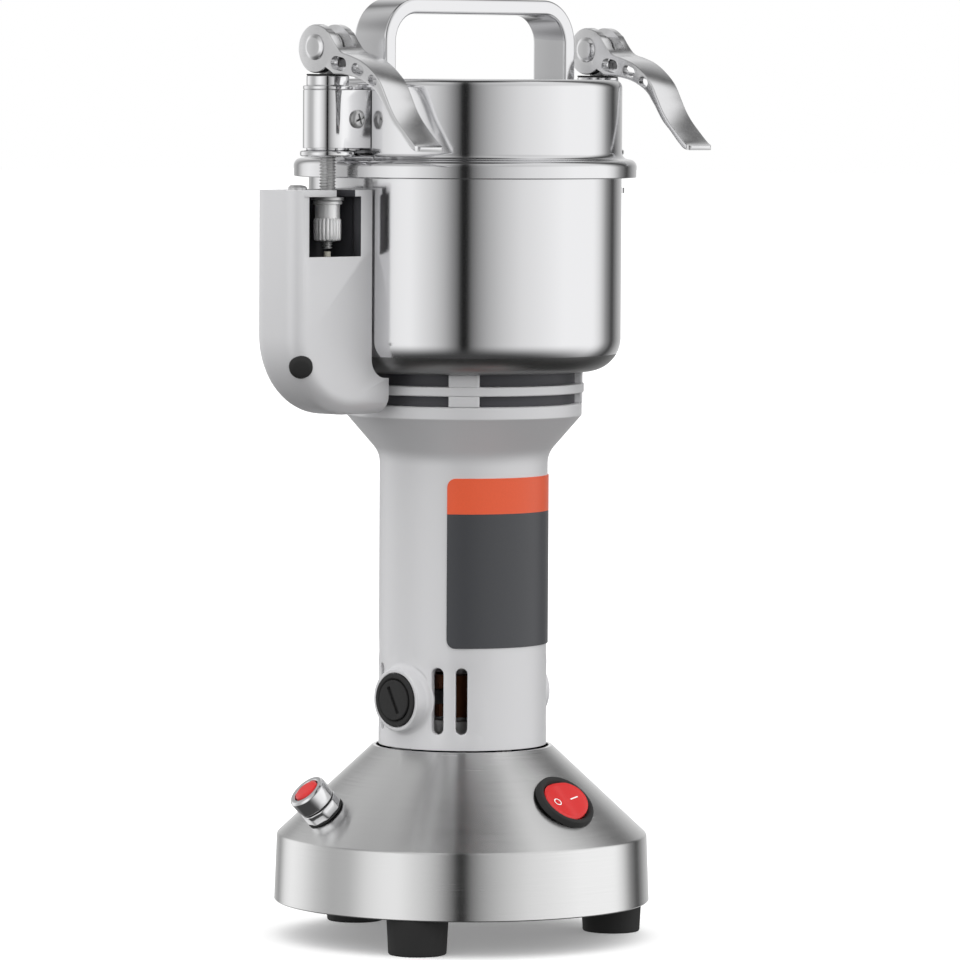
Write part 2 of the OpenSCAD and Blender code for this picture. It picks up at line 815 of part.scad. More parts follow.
// A sector of a disc that reaches past a radius, from one direction through a turn
module sector(r, from, turn) {
    steps = 6;
    polygon(concat([[0, 0]], [for (i = [0:steps]) let (a = from + turn * i / steps)
        [2 * r * cos(a), 2 * r * sin(a)]]));
}

module label_plate() {
    color([0.16, 0.16, 0.18])
    translate([0, 0, column_z + label_up]) linear_extrude(height = label_h)
        intersection() {
            difference() {
                circle(r = column_r + label_t + run_c);
                circle(r = column_r + run_c);
            }
            sector(column_r, label_dir, label_angle);
        }
}

// Brushes: each sits in a tube through a boss, with its spring and cap behind it

module at_brush() {
    for (side = [0, 180]) rotate([0, 0, side]) translate([0, 0, brush_z]) rotate([0, 90, 0]) children();
}

module brush_holders() {
    face = column_r + boss_out;
    start = commutator_d / 2 + holder_gap;
    color([0.06, 0.06, 0.06])
    at_brush() difference() {
        union() {
            translate([0, 0, start]) cylinder(r = holder_r, h = face - start);
            translate([0, 0, face - rim_proud]) cylinder(d = cap_rim_d, h = 2 * rim_proud);
        }
        translate([-brush_w / 2 - run_c, -brush_w / 2 - run_c, start - over])
            cube([brush_w + 2 * run_c, brush_w + 2 * run_c, face + over]);
        translate([0, 0, face - rim_proud]) cylinder(d = cap_d + 2 * run_c, h = 3 * rim_proud);
    }
}

module carbon_brushes() {
    color([0.2, 0.2, 0.2])
    at_brush() translate([-brush_w / 2, -brush_w / 2, commutator_d / 2 + brush_gap])
        cube([brush_w, brush_w, brush_l]);
}

module brush_springs() {
    start = commutator_d / 2 + brush_gap + brush_l;
    face = column_r + boss_out - rim_proud;
    color([0.75, 0.75, 0.7])
    at_brush() ring(brush_w / 2 - run_c, brush_w / 2 - run_c - spring_t, face - start, start);
}

module brush_caps() {
    face = column_r + boss_out;
    color([0.12, 0.12, 0.12])
    at_brush() difference() {
        translate([0, 0, face - rim_proud]) cylinder(d = cap_d, h = rim_proud + cap_out);
        rotate([0, 0, cap_slot_dir])
            translate([-cap_d * cap_slot_share / 2, -cap_slot_w / 2, face + cap_out / 3])
                cube([cap_d * cap_slot_share, cap_slot_w, cap_out]);
    }
}

// Stator

module stator_core() {
    inner = armature_d / 2 + stator_gap;
    color([0.5, 0.5, 0.52])
    translate([0, 0, core_z]) linear_extrude(height = core_h)
        difference() {
            circle(r = column_in_r - run_c);
            circle(r = inner);
            for (side = [0, 180]) rotate([0, 0, side]) difference() {
                translate([0, -column_in_r])
                    square([column_in_r * yoke_share, 2 * column_in_r]);
                square([2 * column_in_r, pole_w], center = true);
                difference() {
                    circle(r = 2 * column_in_r);
                    circle(r = column_in_r - yoke_t);
                }
                circle(r = inner + pole_t);
            }
        }
}

module stator_windings() {
    inner = armature_d / 2 + stator_gap + pole_t + still_c;
    outer = column_in_r - yoke_t - still_c;
    color([0.72, 0.4, 0.2])
    for (side = [0, 180]) rotate([0, 0, side]) for (sign = [-1, 1])
        translate([0, 0, core_z - coil_w]) linear_extrude(height = core_h + 2 * coil_w)
            intersection() {
                difference() {
                    circle(r = outer);
                    circle(r = inner);
                }
                translate([still_c, sign > 0 ? pole_w / 2 + still_c : -pole_w / 2 - still_c - coil_w])
                    square([column_in_r, coil_w]);
            }
}

module bearing_plate() {
    hole_r = 4;
    holes = 8;
    color([0.7, 0.7, 0.72])
    difference() {
        union() {
            translate([0, 0, top_plate_z]) cylinder(r = top_plate_r - run_c, h = top_plate_t);
            translate([0, 0, high_bearing_z]) cylinder(r = hub_r, h = top_plate_z - high_bearing_z + over);
        }
        translate([0, 0, high_bearing_z - over])
            cylinder(r = shaft_r + shaft_hole_c, h = top_plate_t + bearing_h * 2);
        translate([0, 0, high_bearing_z - over]) cylinder(d = bearing_d + 2 * run_c, h = bearing_h + over);
        turns(holes, 22.5, (hub_r + top_plate_r - top_ledge_w) / 2) translate([0, 0, top_plate_z - over])
            cylinder(r = hole_r, h = top_plate_t + 2 * over);
    }
}

// Bearings: outer rings in their seats, balls between, inner rings on the shaft

ball_r = bearing_d * ball_share;
race_r = (bearing_d / 2 + shaft_r) / 2;

module race_groove() {
    translate([0, 0, bearing_h / 2]) rotate_extrude() translate([race_r, 0]) circle(r = ball_r + run_c);
}

module at_bearings() {
    for (z = [low_bearing_z, high_bearing_z]) translate([0, 0, z]) children();
}

module bearing_outer_rings() {
    color([0.7, 0.7, 0.72])
    at_bearings() difference() {
        ring(bearing_d / 2, race_r + ball_r * race_gap_share, bearing_h);
        race_groove();
    }
}

module bearing_inner_rings() {
    color([0.7, 0.7, 0.72])
    at_bearings() difference() {
        ring(race_r - ball_r * race_gap_share, shaft_r, bearing_h);
        race_groove();
    }
}

module bearing_balls() {
    color([0.85, 0.85, 0.85])
    at_bearings() turns(7, 0, race_r) translate([0, 0, bearing_h / 2]) sphere(r = ball_r);
}

// Between the column and the chamber

module vent_ring() {
    color([0.8, 0.8, 0.81])
    difference() {
        union() {
            ring(vent_out_r, vent_in_r, vent_ring_t, vent_ring_z);
            intersection() {
                ring(vent_out_r, vent_in_r, air_gap, column_top_z);
                turns(4, 45, vent_in_r - over) translate([0, -block_w / 2, column_top_z])
                    cube([vent_out_r, block_w, air_gap]);
            }
        }
        turns(4, 45, chamber_screw_r) translate([0, 0, column_top_z - over])
            cylinder(d = chamber_screw_d + 2 * still_c, h = air_gap + 2 * over);
    }
}

module chamber_screws() {
    color([0.75, 0.75, 0.75])
    turns(4, 45, chamber_screw_r) translate([0, 0, chamber_z + chamber_t])
        screw(chamber_screw_d, chamber_t + air_gap + flange_t - still_c);
}

module chamber_profile(grow = 0) {
    r = chamber_r + grow;
    c = chamber_bend_r + grow;
    z = chamber_z - grow;
    polygon(concat([[0, z]], arc(r - c, z + c, c, -90, 0, 12), [[r, rim_z + grow], [0, rim_z + grow]]));
}

module grinding_chamber() {
    inner_c = chamber_bend_r - chamber_t;
    color([0.86, 0.86, 0.87])
    difference() {
        rotate_extrude() difference() {
            union() {
                chamber_profile();
                translate([0, rim_z - rim_t]) square([chamber_r + rim_out, rim_t]);
            }
            polygon(concat([[0, chamber_z + chamber_t]],
                arc(chamber_in_r - inner_c, chamber_z + chamber_t + inner_c, inner_c, -90, 0, 12),
                [[chamber_in_r, rim_z + over], [0, rim_z + over]]));
        }
        translate([0, 0, chamber_z - over]) cylinder(r = seal_r + run_c, h = chamber_t + 2 * over);
        turns(4, 45, chamber_screw_r) translate([0, 0, chamber_z - over])
            cylinder(d = chamber_screw_d + 2 * still_c, h = chamber_t + 2 * over);
    }
}

module shaft_seal() {
    color([0.15, 0.15, 0.15])
    difference() {
        union() {
            translate([0, 0, chamber_z - seal_down]) cylinder(r = seal_r, h = seal_down + chamber_t);
            translate([0, 0, chamber_z + chamber_t]) cylinder(r = seal_r + seal_lip, h = seal_t);
        }
        translate([0, 0, chamber_z - seal_down - over])
            cylinder(r = shaft_r + run_c, h = seal_down + chamber_t + seal_t + 2 * over);
    }
}

// Rotor

module motor_shaft() {
    low_z = low_bearing_z - shaft_tail;
    end_z = blade_two_z + blade_t + blade_nut_h * nut_bore_share;
    color([0.72, 0.72, 0.74])
    translate([0, 0, low_z]) cylinder(r = shaft_r, h = end_z - low_z);
}

module armature_core() {
    slots = 12;
    color([0.45, 0.45, 0.47])
    difference() {
        ring(armature_d / 2, shaft_r, core_h, core_z);
        turns(slots, 0, armature_d / 2 - armature_slot_in) translate([0, 0, core_z - over]) {
            cylinder(r = armature_slot_r, h = core_h + 2 * over);
            translate([0, -armature_slot_w / 2, 0])
                cube([armature_d, armature_slot_w, core_h + 2 * over]);
        }
    }
}

module armature_windings() {
    r = armature_d / 2 - winding_in;
    edge = winding_h / 3;
    color([0.72, 0.4, 0.2])
    difference() {
        union() {
            for (low = [core_z - winding_h, core_z + core_h]) translate([0, 0, low]) {
                translate([0, 0, edge]) cylinder(r = r, h = winding_h - 2 * edge);
                cylinder(r1 = r - edge, r2 = r, h = edge);
                translate([0, 0, winding_h - edge]) cylinder(r1 = r, r2 = r - edge, h = edge);
            }
        }
        translate([0, 0, core_z - winding_h - over])
            cylinder(r = shaft_r + run_c, h = core_h + 2 * winding_h + 2 * over);
    }
}

module commutator() {
    bars = 24;
    color([0.8, 0.5, 0.3])
    translate([0, 0, brush_z - commutator_h / 2]) difference() {
        ring(commutator_d / 2, shaft_r, commutator_h);
        turns(bars, 0, commutator_d / 2 - bar_gap_in) translate([0, -bar_gap_w / 2, -over])
            cube([commutator_d, bar_gap_w, commutator_h - riser_h]);
    }
}

module cooling_fan() {
    vanes = 9;
    disc_t = 1.4;
    vane_t = 1.2;
    color([0.12, 0.12, 0.12])
    difference() {
        union() {
            translate([0, 0, fan_z + fan_h - disc_t]) cylinder(d = fan_d, h = disc_t);
            translate([0, 0, fan_z]) cylinder(r = shaft_r + fan_hub_t, h = fan_h);
            turns(vanes, 0, shaft_r + fan_hub_t - over) translate([0, -vane_t / 2, fan_z])
                cube([fan_d / 2 - shaft_r - fan_hub_t, vane_t, fan_h]);
        }
        translate([0, 0, fan_z - over]) cylinder(r = shaft_r, h = fan_h + 2 * over);
    }
}

// One blade seen from its front: flat at the shaft, with both ends bent up or down
module blade(up) {
    half = sqrt(blade_sweep_d * blade_sweep_d - blade_w * blade_w) / 2;
    bend = half * blade_bend_share;
    lift = up * (half - bend) * blade_lift_share / 2;
    difference() {
        intersection() {
            rotate([90, 0, 0]) translate([0, 0, -blade_w / 2]) linear_extrude(height = blade_w)
                polygon([[-half, lift], [-bend, 0], [bend, 0], [half, lift],
                    [half, lift + blade_t], [bend, blade_t], [-bend, blade_t], [-half, lift + blade_t]]);
            translate([0, 0, -half]) linear_extrude(height = 2 * half)
                polygon([[-half, blade_w / 2], [-bend, blade_w / 2], [bend, blade_w / 2 - blade_waist],
                    [half, blade_w / 6], [half, -blade_w / 2], [bend, -blade_w / 2],
                    [-bend, blade_waist - blade_w / 2], [-half, -blade_w / 6]]);
        }
        translate([0, 0, -over]) cylinder(r = shaft_r, h = blade_t + 2 * over);
    }
}

module mill_blades() {
    color([0.8, 0.8, 0.82]) {
        translate([0, 0, blade_z]) rotate([0, 0, 35]) blade(0);
        translate([0, 0, blade_two_z]) rotate([0, 0, 125]) blade(1);
    }
}

module blade_spacers() {
    color([0.7, 0.7, 0.72]) {
        ring(collar_r, shaft_r, low_collar_h, blade_z - low_collar_h);
        ring(collar_r, shaft_r, blade_step, blade_z + blade_t);
    }
}

module blade_nut() {
    color([0.75, 0.75, 0.77])
    translate([0, 0, blade_two_z + blade_t]) difference() {
        union() {
            cylinder(r = blade_nut_r, h = blade_nut_h, $fn = 6);
            translate([0, 0, blade_nut_h]) cylinder(r1 = blade_nut_r * blade_nut_dome_share,
                r2 = blade_nut_r * blade_nut_tip_share, h = blade_nut_dome_h);
        }
        translate([0, 0, -over]) cylinder(r = shaft_r, h = blade_nut_h * nut_bore_share + over);
    }
}

// Lid

module lid_outline(inset) {
    s = lid_shoulder_r - inset;
    e = lid_edge_r - inset;
    f = lid_fillet_r + inset;
    r = lid_r - inset;
    fr = lid_flange_r - inset;
    sz = lid_shoulder_z - inset;
    tz = lid_top_z - inset;
    polygon(concat([[0, lid_z - inset], [fr, lid_z - inset]],
        arc(fr - s, sz - s, s, 0, 90, 6),
        arc(r + f, sz + f, f, 270, 180, 6),
        arc(r - e, tz - e, e, 0, 90, 6), [[0, tz]]));
}

module lid_shell() {
    color([0.88, 0.88, 0.89])
    difference() {
        rotate_extrude() difference() {
            lid_outline(0);
            lid_outline(lid_t);
        }
        for (sign = [-1, 1]) translate([sign * (handle_l - handle_t) / 2, 0, lid_top_z - lid_t - over])
            cylinder(d = handle_screw_d + 2 * still_c, h = lid_t + 2 * over);
    }
}

module lid_gasket() {
    outer = min(chamber_r + rim_out, lid_flange_r - lid_t) - still_c;
    h = min(gasket_h, lid_shoulder_z - lid_t - rim_z - lid_shoulder_r / 2);
    color([0.9, 0.9, 0.88])
    ring(outer, chamber_in_r + gasket_in, h, rim_z);
}

// The handle seen from the front: a band bent down at both ends
module handle_outline(inset) {
    w = handle_l / 2 - inset;
    r = handle_r - inset;
    top = handle_h - inset;
    translate([-w, -over]) square([2 * w, top - r + over]);
    translate([-w + r, 0]) square([2 * (w - r), top]);
    for (sign = [-1, 1]) translate([sign * (w - r), top - r]) circle(r = r);
}

module handle() {
    color([0.88, 0.88, 0.89])
    translate([0, 0, lid_top_z]) difference() {
        intersection() {
            rotate([90, 0, 0]) translate([0, 0, -handle_w / 2]) linear_extrude(height = handle_w)
                difference() {
                    handle_outline(0);
                    handle_outline(handle_t);
                }
            translate([-handle_l, -handle_w, 0]) cube([2 * handle_l, 2 * handle_w, 2 * handle_h]);
        }
        for (sign = [-1, 1]) translate([sign * (handle_l - handle_t) / 2, 0, -over])
            cylinder(d = handle_screw_d + 2 * run_c, h = handle_screw_l - lid_t + over);
    }
}

module handle_screws() {
    color([0.75, 0.75, 0.75])
    for (sign = [-1, 1]) translate([sign * (handle_l - handle_t) / 2, 0, lid_top_z - lid_t])
        mirror([0, 0, 1]) screw(handle_screw_d, handle_screw_l - still_c);
}

// Latches: fixed pieces on the lid

module strap_outline() {
    wall_r = lid_r + run_c;
    leg = rod_x - wall_r + strap_r;
    difference() {
        union() {
            circle(r = strap_r);
            translate([0, -strap_r]) square([leg, 2 * strap_r]);
        }
        circle(r = sleeve_r + run_c);
        translate([0, -sleeve_r - run_c]) square([rod_x, 2 * (sleeve_r + run_c)]);
        translate([rod_x, 0]) circle(r = wall_r);
    }
}

module latch_straps() {
    color([0.85, 0.85, 0.86])
    for (side = [-1, 1]) latch_side(side) difference() {
        translate([0, 0, strap_z]) linear_extrude(height = strap_h) strap_outline();
        translate([rod_x - leg_screw_x, 0, strap_z + strap_h / 2]) rotate([90, 0, 0])
            cylinder(d = strap_screw_d + 2 * run_c, h = 4 * strap_r, center = true);
    }
}

module latch_screws() {
    color([0.75, 0.75, 0.75])
    for (side = [-1, 1]) latch_side(side)
        translate([rod_x - leg_screw_x, -strap_r, strap_z + strap_h / 2]) rotate([90, 0, 0])
            screw(strap_screw_d, 2 * strap_r - still_c);
}

module latch_sleeves() {
    color([0.83, 0.83, 0.84])
    for (side = [-1, 1]) latch_side(side) difference() {
        union() {
            translate([0, 0, sleeve_foot_z]) cylinder(r = sleeve_r, h = collar_top_z - sleeve_foot_z);
            translate([0, 0, sleeve_foot_z]) cylinder(r = strap_r + sleeve_foot_out, h = sleeve_foot_t);
            translate([0, 0, strap_top_z + run_c]) cylinder(r = strap_r, h = sleeve_rib_h);
        }
        translate([0, 0, sleeve_foot_z - over])
            cylinder(r = rod_r + run_c, h = collar_top_z - sleeve_foot_z + 2 * over);
        translate([rod_x - leg_screw_x, 0, strap_z + strap_h / 2]) rotate([90, 0, 0])
            cylinder(d = strap_screw_d + 2 * still_c, h = 4 * strap_r, center = true);
    }
}

// Latches: moving pieces, made once about the rod's axis and put at each side

module cam_seat(side) {
    color([0.07, 0.07, 0.07])
    at_rod(side) ring(seat_r, rod_r + run_c, seat_top_z - collar_top_z, collar_top_z);
}

module rod(side) {
    color([0.7, 0.7, 0.71])
    at_rod(side) difference() {
        union() {
            translate([0, 0, rod_z]) cylinder(r = rod_r, h = pin_z - rod_z);
            translate([0, 0, pin_z]) rotate([0, 90, 0]) cylinder(r = eye_r, h = eye_w, center = true);
        }
        translate([0, 0, pin_z]) rotate([0, 90, 0]) cylinder(r = pin_r, h = eye_w + 2 * over, center = true);
    }
}

module cam_pin(side) {
    color([0.8, 0.8, 0.8])
    at_rod(side) translate([0, 0, pin_z]) rotate([0, 90, 0]) {
        cylinder(r = pin_r, h = lever_w + 2 * pin_head_h, center = true);
        for (end = [0, 180]) rotate([0, end, 0]) translate([0, 0, lever_w / 2 + run_c])
            cylinder(r1 = pin_head_r, r2 = pin_head_r * head_top_share, h = pin_head_h);
    }
}

module lever_outline(drop) {
    top = [for (p = smooth(lever_top_shares)) [-p[0] * lever_l, -p[1] * lever_drop - drop]];
    low = [for (p = smooth(lever_low_shares)) [-p[0] * lever_l, -p[1] * lever_drop - drop]];
    polygon(concat([[0, 0]], top, low));
}

// A lever points to -Y: outline in Y and Z, carried across its width
module lever(side) {
    bore_l = lever_w + 2 * over;
    channel_w = lever_w - 2 * lever_cheek;
    color([0.78, 0.78, 0.79])
    at_rod(side) translate([0, 0, pin_z])
        difference() {
            intersection() {
                union() {
                    rotate([90, 0, 90]) translate([0, 0, -lever_w / 2])
                        linear_extrude(height = lever_w) lever_outline(0);
                    translate([0, 0, -cam_throw]) rotate([0, 90, 0])
                        cylinder(r = ear_r, h = lever_w, center = true);
                }
                translate([0, 0, -lever_l]) linear_extrude(height = 2 * lever_l) {
                    translate([-lever_w / 2, lever_tip_r - lever_l])
                        square([lever_w, lever_l - lever_tip_r + 2 * ear_r]);
                    hull() for (sign = [-1, 1])
                        translate([sign * (lever_w / 2 - lever_tip_r), lever_tip_r - lever_l])
                            circle(r = lever_tip_r);
                }
            }
            rotate([0, 90, 0]) cylinder(r = pin_r + run_c, h = bore_l, center = true);
            rotate([0, 90, 0]) cylinder(r = fork_r, h = fork_w, center = true);
            intersection() {
                rotate([90, 0, 90]) translate([0, 0, -channel_w / 2])
                    linear_extrude(height = channel_w) lever_outline(lever_t);
                translate([-lever_w, -lever_l * lever_channel_to, -2 * lever_l])
                    cube([2 * lever_w, lever_l * (lever_channel_to - lever_channel_from / 2), 3 * lever_l]);
            }
            for (i = [0:len(lever_hole_ds) - 1])
                translate([0, -lever_hole_shares[i][0] * lever_l, -lever_hole_shares[i][1] * lever_drop])
                    rotate([lever_hole_tilts[i], 0, 0]) hull() for (sign = [-1, 1])
                        translate([0, sign * lever_hole_ls[i] / 2, 0]) rotate([0, 90, 0])
                            cylinder(d = lever_hole_ds[i], h = bore_l, center = true);
        }
}

module nut_washer(side) {
    color([0.8, 0.8, 0.8])
    at_rod(side) ring(washer_d / 2, rod_r + run_c, washer_h, washer_z);
}

module knurled_nut(side) {
    knurl_h = nut_h * knurl_share;
    collar_h = nut_h * nut_collar_share;
    color([0.8, 0.8, 0.8])
    at_rod(side) translate([0, 0, nut_z]) difference() {
        union() {
            cylinder(d = knurl_d, h = knurl_h);
            cylinder(d = nut_neck_d, h = nut_h);
            translate([0, 0, nut_h - collar_h]) cylinder(d = nut_collar_d, h = collar_h);
        }
        translate([0, 0, -over]) cylinder(r = rod_r + run_c, h = nut_h + 2 * over);
        turns(knurls, 0, knurl_d / 2) translate([0, 0, -over]) rotate([0, 0, 45])
            translate([-knurl_cut / 2, -knurl_cut / 2, 0]) cube([knurl_cut, knurl_cut, knurl_h + 2 * over]);
    }
}

// Latch box: a casting beside the chamber whose tongue lies on the column's flange

module box_side(inset) {
    x = box_x - inset;
    r = box_bend_r - inset;
    z = box_z + inset;
    polygon(concat([[-tongue_in_r, box_top_z - inset], [-x, box_top_z - inset]],
        arc(-x + r, z + r, r, 180, 270, 10), [[-tongue_in_r, z]]));
}

module box_plan(inset) {
    x = box_x - inset;
    f = box_front - inset;
    b = box_back - inset;
    r = box_corner_r - inset;
    translate([-x, -f + r]) square([x, f + b - 2 * r]);
    translate([-x + r, -f]) square([x - r, f + b]);
    for (y = [-f + r, b - r]) translate([-x + r, y]) circle(r = r);
}

module box_block(inset) {
    intersection() {
        rotate([90, 0, 0]) translate([0, 0, -2 * box_back]) linear_extrude(height = 4 * box_back)
            box_side(inset);
        translate([0, 0, box_z - over]) linear_extrude(height = box_top_z - box_z + 2 * over)
            box_plan(inset);
    }
}

module box_cavity() {
    difference() {
        box_block(box_t);
        cylinder(r = box_in_r, h = 2 * box_top_z);
        translate([-2 * box_x, -2 * box_x, 0]) cube([4 * box_x, 4 * box_x, box_floor_z]);
        translate([-2 * box_x, -2 * box_x, switch_z - box_t]) cube([4 * box_x, 4 * box_x, box_t]);
    }
    translate([box_t + wire_hole_r + wire_hole_in - box_x, 0, switch_z - 2 * box_t])
        cylinder(r = wire_hole_r, h = 3 * box_t);
}

module latch_box() {
    win_l = window_out_x - window_in_x;
    color([0.83, 0.83, 0.84])
    difference() {
        box_block(0);
        rotate_extrude() chamber_profile(box_gap);
        translate([0, 0, column_top_z + tongue_t]) cylinder(r = vent_out_r + still_c, h = box_top_z);
        difference() {
            cylinder(r = box_foot_r, h = chamber_z);
            translate([-2 * box_foot_r, tongue_y - tongue_w / 2, column_top_z])
                cube([2 * box_foot_r, tongue_w, chamber_z]);
        }
        box_cavity();
        translate([-window_out_x, -box_front - over, top_plate_low_z - window_h])
            cube([win_l, box_t + 2 * over, window_h]);
        translate([-box_slot_x - box_slot_w / 2, -box_front - over, top_plate_low_z - over])
            cube([box_slot_w, box_front + over + box_slot_back, box_t + 2 * over]);
        translate([-box_screw_x, box_screw_y, top_plate_low_z - over])
            cylinder(d = box_screw_d + 2 * run_c, h = box_t + 2 * over);
        translate([-tongue_screw_x, tongue_y, column_top_z - over])
            cylinder(d = box_screw_d + 2 * run_c, h = tongue_t + 2 * over);
        at_plug() cylinder(d = plug_d + 2 * run_c, h = 2 * plug_h);
    }
}

module latch_box_screws() {
    color([0.75, 0.75, 0.75]) {
        translate([-box_screw_x, box_screw_y, box_top_z]) screw(box_screw_d, box_t);
        translate([-tongue_screw_x, tongue_y, column_top_z + tongue_t]) mirror([0, 0, 1])
            cylinder(d = box_screw_d, h = tongue_t + flange_t - still_c);
    }
}

// The plug's seat: on the box's rounded corner, with Z out of it
module at_plug() {
    z = box_z + plug_up;
    drop = box_bend_r - plug_up;
    x = box_x - box_bend_r + sqrt(box_bend_r * box_bend_r - drop * drop);
    r = box_corner_r;
    translate([-x + r, -box_front + r, z]) rotate([0, 0, plug_dir]) rotate([0, 90 + plug_dip, 0])
        translate([0, 0, r - plug_h]) children();
}

module latch_box_plug() {
    color([0.05, 0.05, 0.05])
    at_plug() cylinder(d = plug_d, h = plug_h);
}

module switch_body() {
    color([0.1, 0.1, 0.1])
    difference() {
        translate([-box_in_r - pass_c - switch_l, -switch_w / 2, switch_z])
            cube([switch_l, switch_w, switch_h]);
        translate([-rod_x, 0, switch_z + switch_h - plunger_in])
            cylinder(r = plunger_r + run_c, h = plunger_in + over);
    }
}

module switch_plunger() {
    color([0.75, 0.75, 0.7])
    translate([-rod_x, 0, plunger_z - plunger_up - plunger_in / 2])
        cylinder(r = plunger_r, h = plunger_up + plunger_in / 2);
}

// Slotted lug on the right of the chamber

module right_lug() {
    wall_r = chamber_r;
    color([0.82, 0.82, 0.83])
    difference() {
        union() {
            translate([0, -lug_half_w, lug_z])
                cube([lug_x - lug_half_w / 2, 2 * lug_half_w, lug_t]);
            translate([lug_x - lug_half_w / 2, 0, lug_z])
                intersection() {
                    lug_end();
                    translate([-over, -lug_half_w, 0]) cube([lug_half_w, 2 * lug_half_w, lug_t]);
                }
            translate([0, -lug_half_w, lug_z + lug_t - lug_tab_h])
                intersection() {
                    cube([lug_x, 2 * lug_half_w, lug_tab_h]);
                    translate([0, lug_half_w, 0]) cylinder(r = wall_r + lug_t, h = lug_tab_h);
                }
        }
        translate([0, 0, box_top_z - 2 * lug_tab_h]) cylinder(r = wall_r + run_c, h = 3 * lug_tab_h);
        translate([rod_x - lug_slot_w / 2, -lug_slot_w / 2, lug_z - lug_t])
            cube([lug_slot_w, 2 * lug_half_w, 3 * lug_t]);
    }
}

// The lug's outer end with its two rounded corners
module lug_end() {
    r = lug_half_w / 2;
    translate([-over, -lug_half_w + r, 0]) cube([over + r, 2 * (lug_half_w - r), lug_t]);
    for (y = [-lug_half_w + r, lug_half_w - r]) translate([0, y, 0]) cylinder(r = r, h = lug_t);
}

base_shell();
base_plate();
rubber_feet();
foot_screws();
cord_gland();
rocker_bezel();
rocker_button();
breaker_body();
breaker_nut();
reset_button();
mount_screws();
motor_column();
label_plate();
brush_caps();
brush_holders();
carbon_brushes();
brush_springs();
stator_core();
stator_windings();
bearing_plate();
bearing_outer_rings();
bearing_balls();
vent_ring();
chamber_screws();
grinding_chamber();
shaft_seal();
latch_box();
latch_box_screws();
latch_box_plug();
switch_body();
switch_plunger();
right_lug();
motor_shaft();
armature_core();
armature_windings();
commutator();
cooling_fan();
bearing_inner_rings();
mill_blades();
blade_spacers();
blade_nut();
lid_shell();
lid_gasket();
handle();
handle_screws();
latch_straps();
latch_sleeves();
latch_screws();
cam_seat(-1);  // left_cam_seat
cam_seat(1);  // right_cam_seat
rod(-1);  // left_rod
rod(1);  // right_rod
cam_pin(-1);  // left_cam_pin
cam_pin(1);  // right_cam_pin
lever(-1);  // left_lever
lever(1);  // right_lever
nut_washer(-1);  // left_washer
nut_washer(1);  // right_washer
knurled_nut(-1);  // left_nut
knurled_nut(1);  // right_nut
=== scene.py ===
"""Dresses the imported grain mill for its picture: steel, castings, levers, switches and light."""

import json
import logging
import math
from collections.abc import Callable, Iterable, Mapping, Sequence
from dataclasses import dataclass, field
from enum import Enum

import bmesh
import bpy
from mathutils import Matrix, Vector
from mathutils.geometry import delaunay_2d_cdt


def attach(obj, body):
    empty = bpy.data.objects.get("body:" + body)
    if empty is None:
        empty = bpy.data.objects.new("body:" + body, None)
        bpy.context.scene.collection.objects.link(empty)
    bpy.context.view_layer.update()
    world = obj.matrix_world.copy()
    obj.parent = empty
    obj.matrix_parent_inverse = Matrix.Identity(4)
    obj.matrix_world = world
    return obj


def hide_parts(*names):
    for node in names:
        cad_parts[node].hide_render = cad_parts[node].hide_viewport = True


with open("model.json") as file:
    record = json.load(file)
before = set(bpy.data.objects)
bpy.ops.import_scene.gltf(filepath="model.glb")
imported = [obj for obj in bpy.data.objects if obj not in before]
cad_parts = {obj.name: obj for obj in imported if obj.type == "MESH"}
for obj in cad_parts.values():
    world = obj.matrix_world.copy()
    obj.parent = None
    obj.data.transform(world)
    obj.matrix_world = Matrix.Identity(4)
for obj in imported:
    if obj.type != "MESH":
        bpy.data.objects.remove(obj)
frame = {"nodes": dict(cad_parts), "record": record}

LOG = logging.getLogger("grain_mill")
MM = 0.001
FULL = 2.0 * math.pi
POLE = 1e-6
STRAIGHT = 1e-4
# The most of a side that a corner's rounding takes, and the least spread at a sharp corner
MOST_OF_SIDE = 0.4999
LEAST_SPREAD = 0.45
# How far a spun surface's lines drift across it, wires round a winding, size of broad patches
SPIN_DRIFT = 0.012
WIRES = 60.0
BROAD = 28.0

Flat = tuple[float, float]
Corner = tuple[float, float, float]
Colour = tuple[float, float, float]
Profile = tuple[Corner, ...]
SQUARE = ((-1.0, -1.0), (1.0, -1.0), (1.0, 1.0), (-1.0, 1.0))
FINE_STEPS = 256


def circle(radius: float, count: int = 48, centre: Flat = (0.0, 0.0)) -> list[Flat]:
    """Points of a circle, counterclockwise."""
    return [(centre[0] + radius * math.cos(FULL * k / count),
             centre[1] + radius * math.sin(FULL * k / count)) for k in range(count)]


